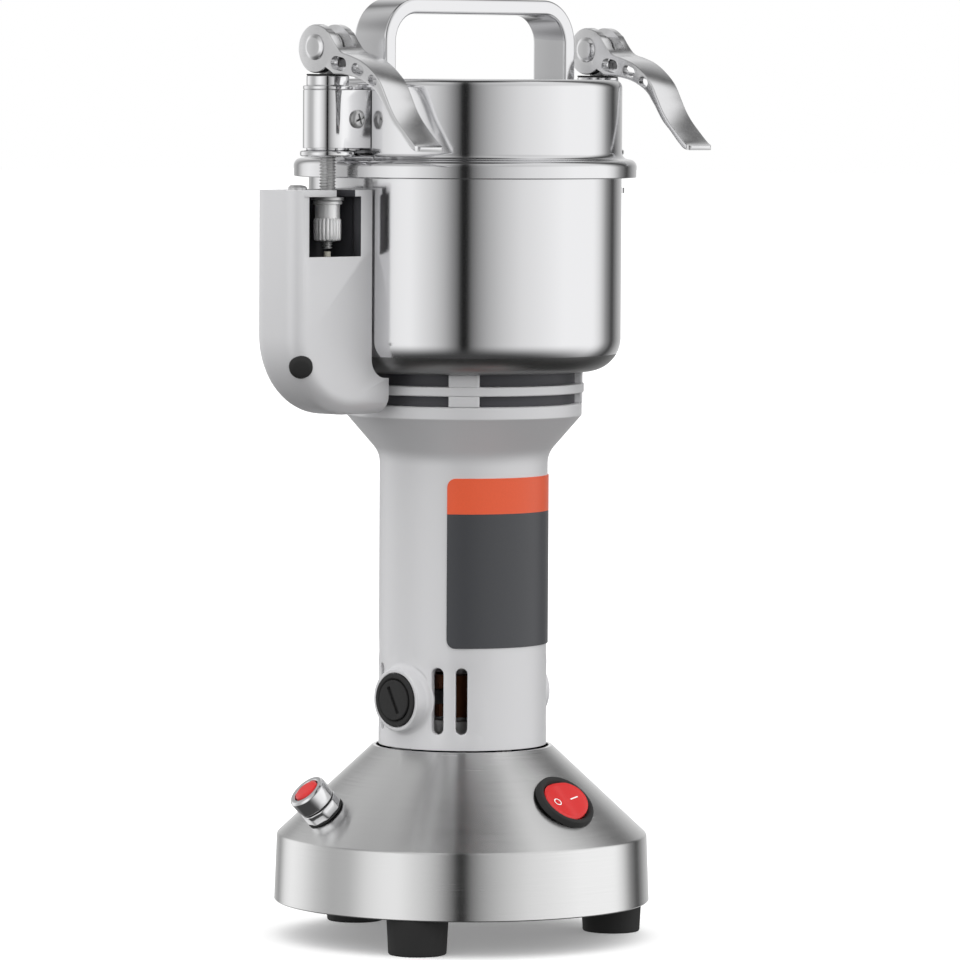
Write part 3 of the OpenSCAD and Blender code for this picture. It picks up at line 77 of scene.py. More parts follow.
def rounded(corners: Sequence[Corner], closed: bool = True, step: float = 9.0) -> list[Flat]:
    """Draws a line through corners and rounds each by its own radius.

    Args:
        corners: x, y and radius of each corner.
        closed: whether the last corner joins the first.
        step: the most degrees that a chord of a rounding covers.

    Returns:
        The points of the line.
    """
    points: list[Flat] = []
    count = len(corners)
    for k, (x, y, radius) in enumerate(corners):
        at = Vector((x, y))
        if radius <= 0.0 or (not closed and k in (0, count - 1)):
            points.append((x, y))
            continue
        back = Vector(corners[k - 1][:2]) - at
        ahead = Vector(corners[(k + 1) % count][:2]) - at
        opening = back.angle(ahead)
        if opening > math.pi - STRAIGHT:
            points.append((x, y))
            continue
        reach = min(radius / math.tan(opening / 2), MOST_OF_SIDE * back.length,
                    MOST_OF_SIDE * ahead.length)
        radius = reach * math.tan(opening / 2)
        middle = at + (back.normalized() + ahead.normalized()).normalized() * (
            radius / math.sin(opening / 2))
        first = at + back.normalized() * reach - middle
        turn = first.angle_signed(at + ahead.normalized() * reach - middle)
        chords = max(2, math.ceil(abs(math.degrees(turn)) / step))
        for j in range(chords + 1):
            angle = -turn * j / chords
            points.append((middle.x + first.x * math.cos(angle) - first.y * math.sin(angle),
                           middle.y + first.x * math.sin(angle) + first.y * math.cos(angle)))
    return points


def oval(radius: float, length: float, count: int, middle: Flat, tilt: float) -> list[Flat]:
    """Draws a slot with round ends.

    Args:
        radius: radius of its ends.
        length: length between the ends' centres.
        count: how many points it has.
        middle: its middle.
        tilt: its turn in degrees.

    Returns:
        The outline.
    """
    turn, points = math.radians(tilt), []
    for k in range(count):
        angle = FULL * (k + 0.5) / count
        x = radius * math.cos(angle) + math.copysign(length / 2, math.cos(angle))
        y = radius * math.sin(angle)
        points.append((middle[0] + x * math.cos(turn) - y * math.sin(turn),
                       middle[1] + x * math.sin(turn) + y * math.cos(turn)))
    return points


def area(points: Sequence[Flat]) -> float:
    """Signed area of a closed outline."""
    return 0.5 * sum(a[0] * b[1] - b[0] * a[1] for a, b in zip(points, [*points[1:], points[0]]))


def inset(points: Sequence[Flat], by: float) -> list[Flat]:
    """Moves a counterclockwise outline inwards.

    Args:
        points: the outline.
        by: how far, outwards where negative.

    Returns:
        The moved outline, with as many points.
    """
    moved: list[Flat] = []
    count = len(points)
    for k in range(count):
        here = Vector(points[k])
        back = (here - Vector(points[k - 1])).normalized()
        ahead = (Vector(points[(k + 1) % count]) - here).normalized()
        side = Vector((-back.y - ahead.y, back.x + ahead.x))
        if side.length < POLE:
            side = Vector((-ahead.y, ahead.x))
        side.normalize()
        spread = max(LEAST_SPREAD, side.dot(Vector((-ahead.y, ahead.x))))
        moved.append(tuple(here + side * (by / spread)))
    return moved


def smooth_line(points: Sequence[Flat], parts: int = 6) -> list[Flat]:
    """Runs a smooth curve through points.

    Args:
        points: places on the curve.
        parts: chords between two places.

    Returns:
        The points of the curve.
    """
    line: list[Flat] = []
    last = len(points) - 1
    for k in range(last):
        p = [Vector(points[max(0, min(last, k + j))]) for j in (-1, 0, 1, 2)]
        for j in range(parts):
            t = j / parts
            line.append(tuple(0.5 * (2 * p[1] + (p[2] - p[0]) * t
                                     + (2 * p[0] - 5 * p[1] + 4 * p[2] - p[3]) * t * t
                                     + (3 * p[1] - p[0] - 3 * p[2] + p[3]) * t ** 3)))
    line.append(points[-1])
    return line


def outward(direction: float) -> Vector:
    """The level way at a direction about the spindle, in degrees."""
    way = math.radians(direction)
    return Vector((math.cos(way), math.sin(way), 0.0))


def polar(radius: float, turn: float, z: float) -> Vector:
    """A point round the frame's Z."""
    return Vector((radius * math.cos(turn), radius * math.sin(turn), z))


def normals(path: Sequence[Flat]) -> list[Vector]:
    """Unit vectors square to an open line, one at each of its points."""
    last = len(path) - 1
    runs = [(Vector(path[min(last, k + 1)]) - Vector(path[max(0, k - 1)])).normalized()
            for k in range(last + 1)]
    return [Vector((-run.y, run.x)) for run in runs]


def towards(direction: Vector, at: Vector, turn: float = 0.0) -> Matrix:
    """A frame whose Z points along a direction.

    Args:
        direction: where Z points.
        at: the frame's origin, in millimetres.
        turn: how far the frame is turned about its Z, in degrees.

    Returns:
        The frame as a matrix.
    """
    spin = direction.to_track_quat("Z", "Y").to_matrix().to_4x4()
    return Matrix.Translation(at) @ spin @ Matrix.Rotation(math.radians(turn), 4, "Z")


SIDE_FRAME = Matrix(((0.0, 0.0, 1.0, 0.0), (1.0, 0.0, 0.0, 0.0),
                     (0.0, 1.0, 0.0, 0.0), (0.0, 0.0, 0.0, 1.0)))
FRONT_FRAME = Matrix(((1.0, 0.0, 0.0, 0.0), (0.0, 0.0, -1.0, 0.0),
                      (0.0, 1.0, 0.0, 0.0), (0.0, 0.0, 0.0, 1.0)))


class Draft:
    """A mesh under construction, in millimetres."""

    def __init__(self) -> None:
        """Starts with nothing in it."""
        self.bm = bmesh.new()

    def ring(self, points: Iterable[Vector]) -> list[bmesh.types.BMVert]:
        """Adds the points as vertices."""
        return [self.bm.verts.new(p) for p in points]

    def round(self, radius: float, height: float, steps: int,
              place: Matrix) -> list[bmesh.types.BMVert]:
        """Adds a round ring, or its middle alone where it has no radius."""
        points = [(0.0, 0.0)] if radius < POLE else circle(radius, steps)
        return self.ring(place @ Vector((x, y, height)) for x, y in points)

    def bridge(self, low: list[bmesh.types.BMVert], high: list[bmesh.types.BMVert]) -> None:
        """Joins two closed rings, either of which may be a single vertex."""
        count = max(len(low), len(high))
        for k in range(count):
            j = (k + 1) % count
            corners = [low[k % len(low)], low[j % len(low)], high[j % len(high)],
                       high[k % len(high)]]
            corners = list(dict.fromkeys(corners))
            if len(corners) > 2:
                self.bm.faces.new(corners)

    def skin(self, rings: Sequence[list[bmesh.types.BMVert]], closed: bool = False,
             caps: bool = False) -> None:
        """Joins rings one after another.

        Args:
            rings: the rings, in order.
            closed: whether the last joins the first.
            caps: whether the ends are filled.
        """
        for low, high in zip(rings, [*rings[1:], rings[0]] if closed else rings[1:]):
            self.bridge(low, high)
        if caps:
            for end in (rings[0], rings[-1]):
                self.bm.faces.new(end)

    def lathe(self, profile: Sequence[Flat], steps: int = 96, closed: bool = False,
              frame_at: Matrix | None = None) -> None:
        """Turns a profile about the frame's Z.

        Args:
            profile: radius and height of each point.
            steps: how many flats go round.
            closed: whether the profile's end joins its start.
            frame_at: the frame, or None for the spindle's.
        """
        place = frame_at or Matrix()
        self.skin([self.round(radius, height, steps, place) for radius, height in profile],
                  closed)

    def plate(self, outline: Sequence[Flat], low: float, high: float,
              holes: Sequence[Sequence[Flat]] = (), edge: float = 0.0,
              frame_at: Matrix | None = None, chords: int = 3) -> None:
        """Adds a plate with rounded edges.

        Args:
            outline: its outline.
            low: height of its lower face.
            high: height of its upper face.
            holes: outlines of its holes.
            edge: radius of its edges.
            frame_at: the frame that it is drawn in.
            chords: how many chords round an edge.
        """
        place = frame_at or Matrix()
        low_rims: list[bmesh.types.BMEdge] = []
        high_rims: list[bmesh.types.BMEdge] = []
        for points, side in [(outline, 1.0), *((hole, -1.0) for hole in holes)]:
            points = list(points) if area(points) > 0 else list(reversed(points))
            ladder = [(0.0, low), (0.0, high)]
            if edge > 0.0:
                bends = [math.pi / 2 * k / chords for k in range(chords + 1)]
                ladder = [(edge * (1 - math.sin(a)), low + edge * (1 - math.cos(a)))
                          for a in bends]
                ladder += [(by, low + high - z) for by, z in reversed(ladder)]
            rings = [self.ring(place @ Vector((x, y, z)) for x, y in inset(points, side * by))
                     for by, z in ladder]
            self.skin(rings)
            for ring, rims in ((rings[0], low_rims), (rings[-1], high_rims)):
                rims += [self.bm.edges.get((a, b)) for a, b in zip(ring, [*ring[1:], ring[0]])]
        for rims in (low_rims, high_rims):
            bmesh.ops.triangle_fill(self.bm, use_beauty=True, use_dissolve=False, edges=rims)

    def build(self, name: str, sharp: float = 38.0) -> bpy.types.Object:
        """Makes the object of the draft.

        Args:
            name: the object's name.
            sharp: the angle from which an edge is drawn sharp, in degrees.

        Returns:
            The object, in metres.
        """
        bmesh.ops.remove_doubles(self.bm, verts=self.bm.verts, dist=1e-4)
        bmesh.ops.recalc_face_normals(self.bm, faces=self.bm.faces)
        bmesh.ops.scale(self.bm, vec=(MM, MM, MM), verts=self.bm.verts)
        mesh = bpy.data.meshes.new(name)
        self.bm.to_mesh(mesh)
        self.bm.free()
        mesh.shade_smooth()
        mesh.set_sharp_from_angle(angle=math.radians(sharp))
        made = bpy.data.objects.new(name, mesh)
        bpy.context.scene.collection.objects.link(made)
        return made


def turned(name: str, profile: Sequence[Corner], steps: int, place: Matrix | None = None,
           step: float = 9.0) -> bpy.types.Object:
    """Turns one closed profile with rounded corners into an object.

    Args:
        name: the object's name.
        profile: radius, height and rounding of each corner.
        steps: how many flats go round.
        place: the frame, or None for the spindle's.
        step: the most degrees that a chord of a rounding covers.

    Returns:
        The object.
    """
    draft = Draft()
    draft.lathe(rounded(profile, step=step), steps, closed=True, frame_at=place)
    return draft.build(name)


def block(outline: Sequence[Flat], low: float, high: float,
          place: Matrix | None = None) -> bpy.types.Object:
    """A plate with sharp edges, to cut with."""
    draft = Draft()
    draft.plate(outline, low, high, frame_at=place)
    return draft.build("block")


def carve(body: bpy.types.Object, cutters: Sequence[bpy.types.Object], bevel: float = 0.0,
          sharp: float = 38.0) -> None:
    """Cuts shapes out of an object and softens the edges.

    Args:
        body: the object that is cut.
        cutters: what is cut away, which is then deleted.
        bevel: width of the softened edges, in millimetres.
        sharp: the angle from which an edge counts as one, in degrees.
    """
    for cutter in cutters:
        cut = body.modifiers.new("cut", "BOOLEAN")
        cut.operation = "DIFFERENCE"
        cut.solver = "EXACT"
        cut.object = cutter
    if bevel > 0.0:
        soften = body.modifiers.new("soften", "BEVEL")
        soften.width = bevel * MM
        soften.segments = 2
        soften.limit_method = "ANGLE"
        soften.angle_limit = math.radians(sharp)
        soften.harden_normals = False
    bpy.context.view_layer.update()
    graph = bpy.context.evaluated_depsgraph_get()
    mesh = bpy.data.meshes.new_from_object(body.evaluated_get(graph))
    body.modifiers.clear()
    spent = body.data
    body.data = mesh
    bpy.data.meshes.remove(spent)
    mesh.name = body.name
    for cutter in cutters:
        bpy.data.meshes.remove(cutter.data)
    mesh.shade_smooth()
    mesh.set_sharp_from_angle(angle=math.radians(sharp))


class Wire:
    """A number or vector socket that takes part in sums."""

    def __init__(self, sheet: "Sheet", socket: bpy.types.NodeSocket) -> None:
        """Keeps the socket and the sheet that it lies on."""
        self.sheet = sheet
        self.socket = socket

    def maths(self, operation: str, *values: object, clamp: bool = False) -> "Wire":
        """A Math node on the values, in the order given."""
        node = self.sheet.add("ShaderNodeMath", {"operation": operation, "use_clamp": clamp},
                              dict(enumerate(values)))
        return self.sheet.wire(node, 0)

    def __add__(self, other: object) -> "Wire":
        """Sum."""
        return self.maths("ADD", self, other)

    def __radd__(self, other: object) -> "Wire":
        """Sum with a number on the left."""
        return self.maths("ADD", other, self)

    def __sub__(self, other: object) -> "Wire":
        """Difference."""
        return self.maths("SUBTRACT", self, other)

    def __rsub__(self, other: object) -> "Wire":
        """Difference from a number on the left."""
        return self.maths("SUBTRACT", other, self)

    def __mul__(self, other: object) -> "Wire":
        """Product."""
        return self.maths("MULTIPLY", self, other)

    def __rmul__(self, other: object) -> "Wire":
        """Product with a number on the left."""
        return self.maths("MULTIPLY", other, self)

    def __truediv__(self, other: object) -> "Wire":
        """Quotient."""
        return self.maths("DIVIDE", self, other)

    def __pow__(self, other: object) -> "Wire":
        """Power."""
        return self.maths("POWER", self, other)

    def clamped(self) -> "Wire":
        """The value kept between 0 and 1."""
        return self.maths("ADD", self, 0.0, clamp=True)

    def ramp_between(self, low: float, high: float) -> "Wire":
        """0 below low, 1 above high and a soft change between."""
        node = self.sheet.add("ShaderNodeMapRange", {"interpolation_type": "SMOOTHSTEP"},
                              {"Value": self, "From Min": low, "From Max": high})
        return self.sheet.wire(node, 0)


class Sheet:
    """The node tree of one material or world."""

    def __init__(self, tree: bpy.types.NodeTree) -> None:
        """Starts from an empty tree."""
        self.tree = tree
        tree.nodes.clear()

    def add(self, kind: str, settings: Mapping[str, object] | None = None,
            sockets: Mapping[object, object] | None = None) -> bpy.types.Node:
        """Adds a node.

        Args:
            kind: the node's type.
            settings: its settings, with "stops" for a ramp's.
            sockets: values or wires of its sockets.

        Returns:
            The node.
        """
        node = self.tree.nodes.new(kind)
        for name, value in (settings or {}).items():
            if name == "stops":
                self.set_stops(node.color_ramp, value)
            else:
                setattr(node, name, value)
        for key, value in (sockets or {}).items():
            if isinstance(value, Wire):
                self.tree.links.new(value.socket, node.inputs[key])
            else:
                node.inputs[key].default_value = value
        return node

    @staticmethod
    def set_stops(ramp: bpy.types.ColorRamp, stops: Sequence[tuple[float, float]]) -> None:
        """Gives a ramp its stops, each a place and a grey."""
        while len(ramp.elements) > 1:
            ramp.elements.remove(ramp.elements[-1])
        for k, (place, grey) in enumerate(stops):
            stop = ramp.elements[0] if k == 0 else ramp.elements.new(place)
            stop.position = place
            stop.color = (grey, grey, grey, 1.0)

    def wire(self, node: bpy.types.Node, output: int | str) -> Wire:
        """An output of a node."""
        return Wire(self, node.outputs[output])

    def place(self) -> Wire:
        """The point on the object, in metres."""
        return self.wire(self.add("ShaderNodeTexCoord"), "Object")

    def parts(self, vector: Wire) -> tuple[Wire, Wire, Wire]:
        """The three parts of a vector."""
        node = self.add("ShaderNodeSeparateXYZ", sockets={0: vector})
        return self.wire(node, 0), self.wire(node, 1), self.wire(node, 2)

    def vector(self, x: object, y: object, z: object) -> Wire:
        """A vector of three values."""
        return self.wire(self.add("ShaderNodeCombineXYZ", sockets={0: x, 1: y, 2: z}), 0)

    def noise(self, at: Wire, scale: float, detail: float = 2.0, rough: float = 0.5) -> Wire:
        """Noise from 0 to 1 at a point."""
        node = self.add("ShaderNodeTexNoise", None, {"Vector": at, "Scale": scale,
                                                     "Detail": detail, "Roughness": rough})
        return self.wire(node, 0)

    def blend(self, factor: object, first: object, second: object) -> Wire:
        """Mixes two colours by a factor."""
        pair = [(*c, 1.0) if isinstance(c, tuple) else c for c in (first, second)]
        node = self.add("ShaderNodeMix", {"data_type": "RGBA"},
                        {0: factor, 6: pair[0], 7: pair[1]})
        return self.wire(node, 2)

    def tint(self, colour: Colour, amount: Wire) -> Wire:
        """A colour made darker or lighter by an amount around 1."""
        node = self.add("ShaderNodeVectorMath", {"operation": "SCALE"},
                        {0: colour, "Scale": amount})
        return self.wire(node, 0)

    def bump(self, height: Wire, strength: float, depth: float) -> Wire:
        """A bump of a depth in millimetres."""
        node = self.add("ShaderNodeBump", None, {"Strength": strength, "Distance": depth * MM,
                                                 "Height": height})
        return self.wire(node, 0)


class Grain(Enum):
    """How a surface was worked."""

    SPUN = "lines round the spindle"
    SMOOTH = "polished"
    CAST = "fine cast grain"
    PAINT = "sprayed flakes"
    MOULDED = "moulded plastic"
    STACKED = "stacked sheets"
    WOUND = "windings"


@dataclass(frozen=True)
class Finish:
    """A finish: its colour, gloss and grain, and the record's slot that it belongs to."""

    name: str
    slot: str
    colour: Colour
    rough: float
    metal: float = 1.0
    grain: Grain = Grain.SMOOTH
    fine: float = 900.0
    vary: float = 0.05
    rough_vary: float = 0.05
    relief: float = 0.01
    stretch: float = 0.0
    coat: float = 0.0
    coat_rough: float = 0.08
    stretch_turn: float = 0.25
    bump: float = 0.5

    def pattern(self, sheet: Sheet) -> Wire:
        """The grain as a value from 0 to 1."""
        at = sheet.place()
        x, y, z = sheet.parts(at)
        if self.grain is Grain.SPUN:
            radius = (x * x + y * y) ** 0.5
            line = sheet.vector(radius, x * SPIN_DRIFT, z + y * SPIN_DRIFT)
            return sheet.noise(line, self.fine, 3.0, 0.65)
        if self.grain is Grain.STACKED:
            return z.maths("SINE", z * (FULL * self.fine)) * 0.5 + 0.5
        if self.grain is Grain.WOUND:
            turn = x.maths("ARCTAN2", y, x)
            return (x.maths("SINE", turn * WIRES + z * self.fine)) * 0.5 + 0.5
        return sheet.noise(at, self.fine, 4.0 if self.grain is Grain.CAST else 2.0, 0.6)

    def base_colour(self, sheet: Sheet, amount: Wire) -> Wire:
        """The colour over the surface, whose strength is the amount."""
        return sheet.tint(self.colour, amount)

    def made(self) -> bpy.types.Material:
        """The finish's material, made once.

        Returns:
            The material.
        """
        known = bpy.data.materials.get(self.name)
        if known:
            return known
        material = bpy.data.materials.new(self.name)
        material.use_nodes = True
        sheet = Sheet(material.node_tree)
        grain = self.pattern(sheet)
        broad = sheet.noise(sheet.place(), BROAD, 3.0, 0.55)
        amount = (grain - 0.5) * (2 * self.vary) + (broad - 0.5) * self.vary + 1.0
        roughness = ((grain - 0.5) * self.rough_vary + (broad - 0.5) * self.rough_vary
                     + self.rough).clamped()
        shader = sheet.add("ShaderNodeBsdfPrincipled", None, {
            "Base Color": self.base_colour(sheet, amount),
            "Metallic": self.metal,
            "Roughness": roughness,
            "Normal": sheet.bump(grain, self.bump, self.relief),
            "Anisotropic": self.stretch,
            "Anisotropic Rotation": self.stretch_turn if self.stretch else 0.0,
            "Coat Weight": self.coat,
            "Coat Roughness": self.coat_rough})
        sheet.add("ShaderNodeOutputMaterial", None, {0: sheet.wire(shader, 0)})
        return material


@dataclass(frozen=True)
class LabelFinish(Finish):
    """The bare label: a dark field and an orange band above it."""

    band: Colour = (0.78, 0.1, 0.03)
    band_z: float = 0.1538
    band_blur: float = 0.00004

    def base_colour(self, sheet: Sheet, amount: Wire) -> Wire:
        """The dark field below and the band above."""
        z = sheet.parts(sheet.place())[2]
        above = z.ramp_between(self.band_z - self.band_blur, self.band_z + self.band_blur)
        return sheet.blend(above, sheet.tint(self.colour, amount), sheet.tint(self.band, amount))


SPUN_STEEL = Finish("spun_steel", "brushed_steel", (0.84, 0.84, 0.84), 0.24, grain=Grain.SPUN,
                    fine=2600.0, vary=0.06, rough_vary=0.1, relief=0.012, stretch=0.93)
POLISHED_STEEL = Finish("polished_steel", "polished_steel", (0.95, 0.95, 0.95), 0.05, fine=60.0,
                        vary=0.01, rough_vary=0.03, relief=0.0)
CHROME = Finish("chrome_plate", "chrome", (0.86, 0.86, 0.87), 0.1, fine=160.0, vary=0.015,
                rough_vary=0.05, relief=0.004)
# A darker copy of the polished steel: painted shade on the chamber's downward faces
PAINTED_SHADE_STEEL = Finish("dull_steel", "polished_steel", (0.3, 0.3, 0.3), 0.35, fine=300.0,
                    vary=0.04, rough_vary=0.08, relief=0.006)
NUT_METAL = Finish("nut_metal", "chrome", (0.95, 0.95, 0.95), 0.3, metal=0.45, fine=300.0,
                   vary=0.02, rough_vary=0.06, relief=0.004)
LEVER_METAL = Finish("lever_metal", "satin_steel", (0.92, 0.92, 0.93), 0.24, grain=Grain.CAST,
                     fine=520.0, vary=0.03, rough_vary=0.08, relief=0.02)
SCREW_STEEL = Finish("screw_steel", "screw_steel", (0.7, 0.7, 0.71), 0.2, fine=900.0, vary=0.04,
                     rough_vary=0.1, relief=0.01)
BLADE_STEEL = Finish("blade_steel", "blade_steel", (0.66, 0.66, 0.67), 0.26, fine=1400.0,
                     vary=0.05, rough_vary=0.12, relief=0.01)
SILVER_PAINT = Finish("silver_paint", "silver_paint", (0.97, 0.97, 0.98), 0.28, metal=0.74,
                      grain=Grain.PAINT, fine=2600.0, vary=0.045, rough_vary=0.05, relief=0.012,
                      coat=0.12)
RAW_CASTING = Finish("raw_casting", "cast_aluminium", (0.68, 0.68, 0.69), 0.4, grain=Grain.CAST,
                     fine=1100.0, vary=0.05, rough_vary=0.1, relief=0.03)
STACKED_IRON = Finish("stacked_iron", "laminations", (0.3, 0.3, 0.31), 0.45, grain=Grain.STACKED,
                      fine=2000.0, vary=0.2, rough_vary=0.1, relief=0.05)
# Copper toned far darker than bare wire, as painted shade for the dim inside of the column
SHADED_COPPER = Finish("copper_wire", "copper", (0.13, 0.05, 0.025), 0.45, grain=Grain.WOUND, fine=9000.0,
                vary=0.15, rough_vary=0.1, relief=0.08)
CARBON = Finish("pressed_carbon", "carbon", (0.06, 0.06, 0.06), 0.6, metal=0.0,
                grain=Grain.MOULDED, fine=2400.0, vary=0.15, rough_vary=0.1, relief=0.02)
# A dark sheet that also serves as painted shade in the latch box's hollow and behind the air gap's
# openings
SHADE_AND_DARK_SHEET = Finish("dark_sheet", "dark_sheet", (0.06, 0.06, 0.065), 0.45, metal=0.3,
                    grain=Grain.PAINT, fine=1600.0, vary=0.1, rough_vary=0.1, relief=0.02)
RUBBER = Finish("black_rubber", "black_rubber", (0.018, 0.018, 0.018), 0.55, metal=0.0,
                grain=Grain.MOULDED, fine=1500.0, vary=0.12, rough_vary=0.12, relief=0.03)
SILICONE = Finish("silicone", "gasket", (0.75, 0.75, 0.72), 0.45, metal=0.0, grain=Grain.MOULDED,
                  fine=700.0, vary=0.03, rough_vary=0.08, relief=0.01)
BLACK_PLASTIC = Finish("black_plastic", "black_plastic", (0.017, 0.017, 0.017), 0.32, metal=0.0,
                       grain=Grain.MOULDED, fine=1900.0, vary=0.1, rough_vary=0.08, relief=0.012)
# Pale plastic toned near black, as painted shade for the dark latch box window that it sits in
PALE_PLASTIC_SHADED = Finish("pale_plastic", "pale_plastic", (0.07, 0.07, 0.072), 0.4, metal=0.0,
                      grain=Grain.MOULDED, fine=1300.0, vary=0.03, rough_vary=0.06, relief=0.01)
RED_PLASTIC = Finish("red_plastic", "red_plastic", (0.55, 0.012, 0.014), 0.22, metal=0.0,
                     grain=Grain.MOULDED, fine=700.0, vary=0.03, rough_vary=0.06, relief=0.006,
                     coat=0.3)
WHITE_PRINT = Finish("white_print", "pale_plastic", (0.86, 0.86, 0.84), 0.4, metal=0.0,
                     grain=Grain.MOULDED, fine=900.0, vary=0.02, rough_vary=0.05, relief=0.005)
LABEL_FILM = LabelFinish("label_film", "label", (0.05, 0.052, 0.058), 0.36, metal=0.0,
                         grain=Grain.MOULDED, fine=1500.0, vary=0.05, rough_vary=0.06,
                         relief=0.004)


def dress(piece: bpy.types.Object, finish: Finish, body: str, *nodes: str) -> bpy.types.Object:
    """Gives a piece its finish, its body and the nodes that it stands for.

    Args:
        piece: the piece.
        finish: its finish.
        body: the body that it rides on.
        nodes: the CAD nodes that it stands for.

    Returns:
        The piece.
    """
    piece.data.materials.clear()
    piece.data.materials.append(finish.made())
    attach(piece, body)
    if nodes:
        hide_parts(*nodes)
    LOG.info("%s rides on %s, finish %s, stands for %s", piece.name, body, finish.name,
             ", ".join(nodes) or "nothing")
    return piece


def dress_faces(piece: bpy.types.Object, finish: Finish,
                chosen: Callable[[bpy.types.MeshPolygon], bool]) -> None:
    """Gives the chosen faces of a dressed piece a second finish."""
    piece.data.materials.append(finish.made())
    for face in piece.data.polygons:
        if chosen(face):
            face.material_index = 1


@dataclass
class Studio:
    """Camera, floor and the light round the mill."""

    camera_at: tuple[float, float, float] = (-1.6548, -1.6548, 0.3071)
    camera_turn: float = -45.0
    camera_down: float = 3.494
    camera_roll: float = 0.3006
    lens: float = 244.74
    sensor: float = 36.0
    shift: float = 0.0171
    clip: Flat = (0.05, 100.0)
    floor_size: float = 30.0
    floor_seen: float = 0.75
    floor_dull: float = 0.22
    floor_lift: float = 0.24
    floor_grain: float = 0.02
    floor_rough: float = 0.9
    diffuse_levels: Flat = (1.42, 1.6)
    diffuse_span: Flat = (-0.2, 1.0)
    # Direction from the camera's side, in degrees towards the picture's right, and light level
    cards: tuple[tuple[float, float], ...] = (
        (-180.0, 0.8), (-164.0, 0.48), (-153.0, 0.3), (-141.0, 0.85), (-130.0, 1.0),
        (-116.0, 0.88), (-100.0, 0.6), (-88.0, 0.48), (-74.0, 0.54), (-61.0, 0.86),
        (-50.0, 0.99), (-40.0, 1.02), (-22.0, 0.71), (-15.0, 0.53), (-10.0, 0.34),
        (-6.5, 0.21), (-4.2, 0.12), (-2.9, 0.0), (2.5, 0.0), (3.8, 0.13), (6.5, 0.22),
        (10.0, 0.33), (17.0, 0.49), (28.0, 0.67), (42.0, 0.84), (78.0, 1.06),
        (110.0, 1.06), (118.0, 0.83), (128.0, 0.3), (139.0, 0.04), (153.0, 0.4), (180.0, 0.82))
    # The dark patch overhead and the dark below: level, and degrees over or under the horizon
    top_level: float = 0.05
    top_span: Flat = (62.0, 88.0)
    low_level: float = 0.06
    low_span: Flat = (9.0, 52.0)
    # The shades high on the left and right, and where they begin and end
    left_shade: float = 0.4
    right_shade: float = 0.2
    shade_heights: Flat = (0.22, 0.55)
    shade_sides: Flat = (0.1, 0.5)

    def build(self) -> None:
        """Sets up the camera, the floor, the world and the look of the picture."""
        scene = bpy.context.scene
        scene.view_settings.view_transform = "Standard"
        data = bpy.data.cameras.new("camera")
        data.lens = self.lens
        data.sensor_width = self.sensor
        data.shift_x = self.shift
        data.clip_start, data.clip_end = self.clip
        camera = bpy.data.objects.new("camera", data)
        camera.matrix_world = (Matrix.Translation(self.camera_at)
                               @ Matrix.Rotation(math.radians(self.camera_turn), 4, "Z")
                               @ Matrix.Rotation(math.radians(90.0 - self.camera_down), 4, "X")
                               @ Matrix.Rotation(math.radians(self.camera_roll), 4, "Z"))
        scene.collection.objects.link(camera)
        scene.camera = camera
        self.world()
        self.floor()

    def world(self) -> None:
        """Makes a white surround with soft cards that only polished metal shows."""
        world = bpy.data.worlds.new("studio")
        world.use_nodes = True
        world.cycles.sampling_method = "NONE"
        bpy.context.scene.world = world
        sheet = Sheet(world.node_tree)
        away = sheet.wire(sheet.add("ShaderNodeTexCoord"), "Generated")
        x, y, z = sheet.parts(away)
        half = math.sqrt(0.5)
        side = x * half - y * half
        near = x * (-half) - y * half
        turn = side.maths("ARCTAN2", side, near) / FULL + 0.5
        stops = [(angle / 360.0 + 0.5, level) for angle, level in self.cards]
        ring = sheet.wire(sheet.add("ShaderNodeValToRGB", {"stops": stops}, {0: turn}), 0)
        high = z.ramp_between(*(math.sin(math.radians(a)) for a in self.top_span))
        under = (z * -1.0).ramp_between(*(math.sin(math.radians(a)) for a in self.low_span))
        shade = z.ramp_between(*self.shade_heights) * (
            (side * -1.0).ramp_between(*self.shade_sides) * self.left_shade
            + side.ramp_between(*self.shade_sides) * self.right_shade)
        shine = (ring * (1.0 - shade) * (1.0 - high) + high * self.top_level) * (1.0 - under) \
            + under * self.low_level
        dim, bright = self.diffuse_levels
        soft = z.ramp_between(*self.diffuse_span) * (bright - dim) + dim
        path = sheet.add("ShaderNodeLightPath")
        seen = sheet.wire(path, "Is Camera Ray")
        dull = sheet.wire(path, "Is Diffuse Ray")
        level = seen + dull * soft + (1.0 - seen - dull).clamped() * shine
        light = sheet.add("ShaderNodeBackground", None, {"Color": (1.0, 1.0, 1.0, 1.0),
                                                         "Strength": level})
        sheet.add("ShaderNodeOutputWorld", None, {0: sheet.wire(light, 0)})

    def floor(self) -> None:
        """Lays a white floor that keeps the mill's soft shadow."""
        draft = Draft()
        reach = self.floor_size / MM / 2
        draft.bm.faces.new(draft.ring(Vector((u * reach, v * reach, 0.0)) for u, v in SQUARE))
        floor = draft.build("floor")
        floor.visible_glossy = False
        material = bpy.data.materials.new("white_floor")
        material.use_nodes = True
        sheet = Sheet(material.node_tree)
        seen = sheet.wire(sheet.add("ShaderNodeLightPath"), "Is Camera Ray")
        grain = sheet.noise(sheet.place(), 40.0)
        shade = (grain * self.floor_grain + (1.0 - self.floor_grain / 2)) * (
            seen * (self.floor_seen - self.floor_dull) + self.floor_dull)
        shader = sheet.add("ShaderNodeBsdfPrincipled", None, {
            "Base Color": sheet.tint((1.0, 1.0, 1.0), shade),
            "Roughness": self.floor_rough, "Specular IOR Level": 0.0,
            "Emission Color": sheet.tint((1.0, 1.0, 1.0), seen),
            "Emission Strength": self.floor_lift})
        sheet.add("ShaderNodeOutputMaterial", None, {0: sheet.wire(shader, 0)})
        floor.data.materials.append(material)


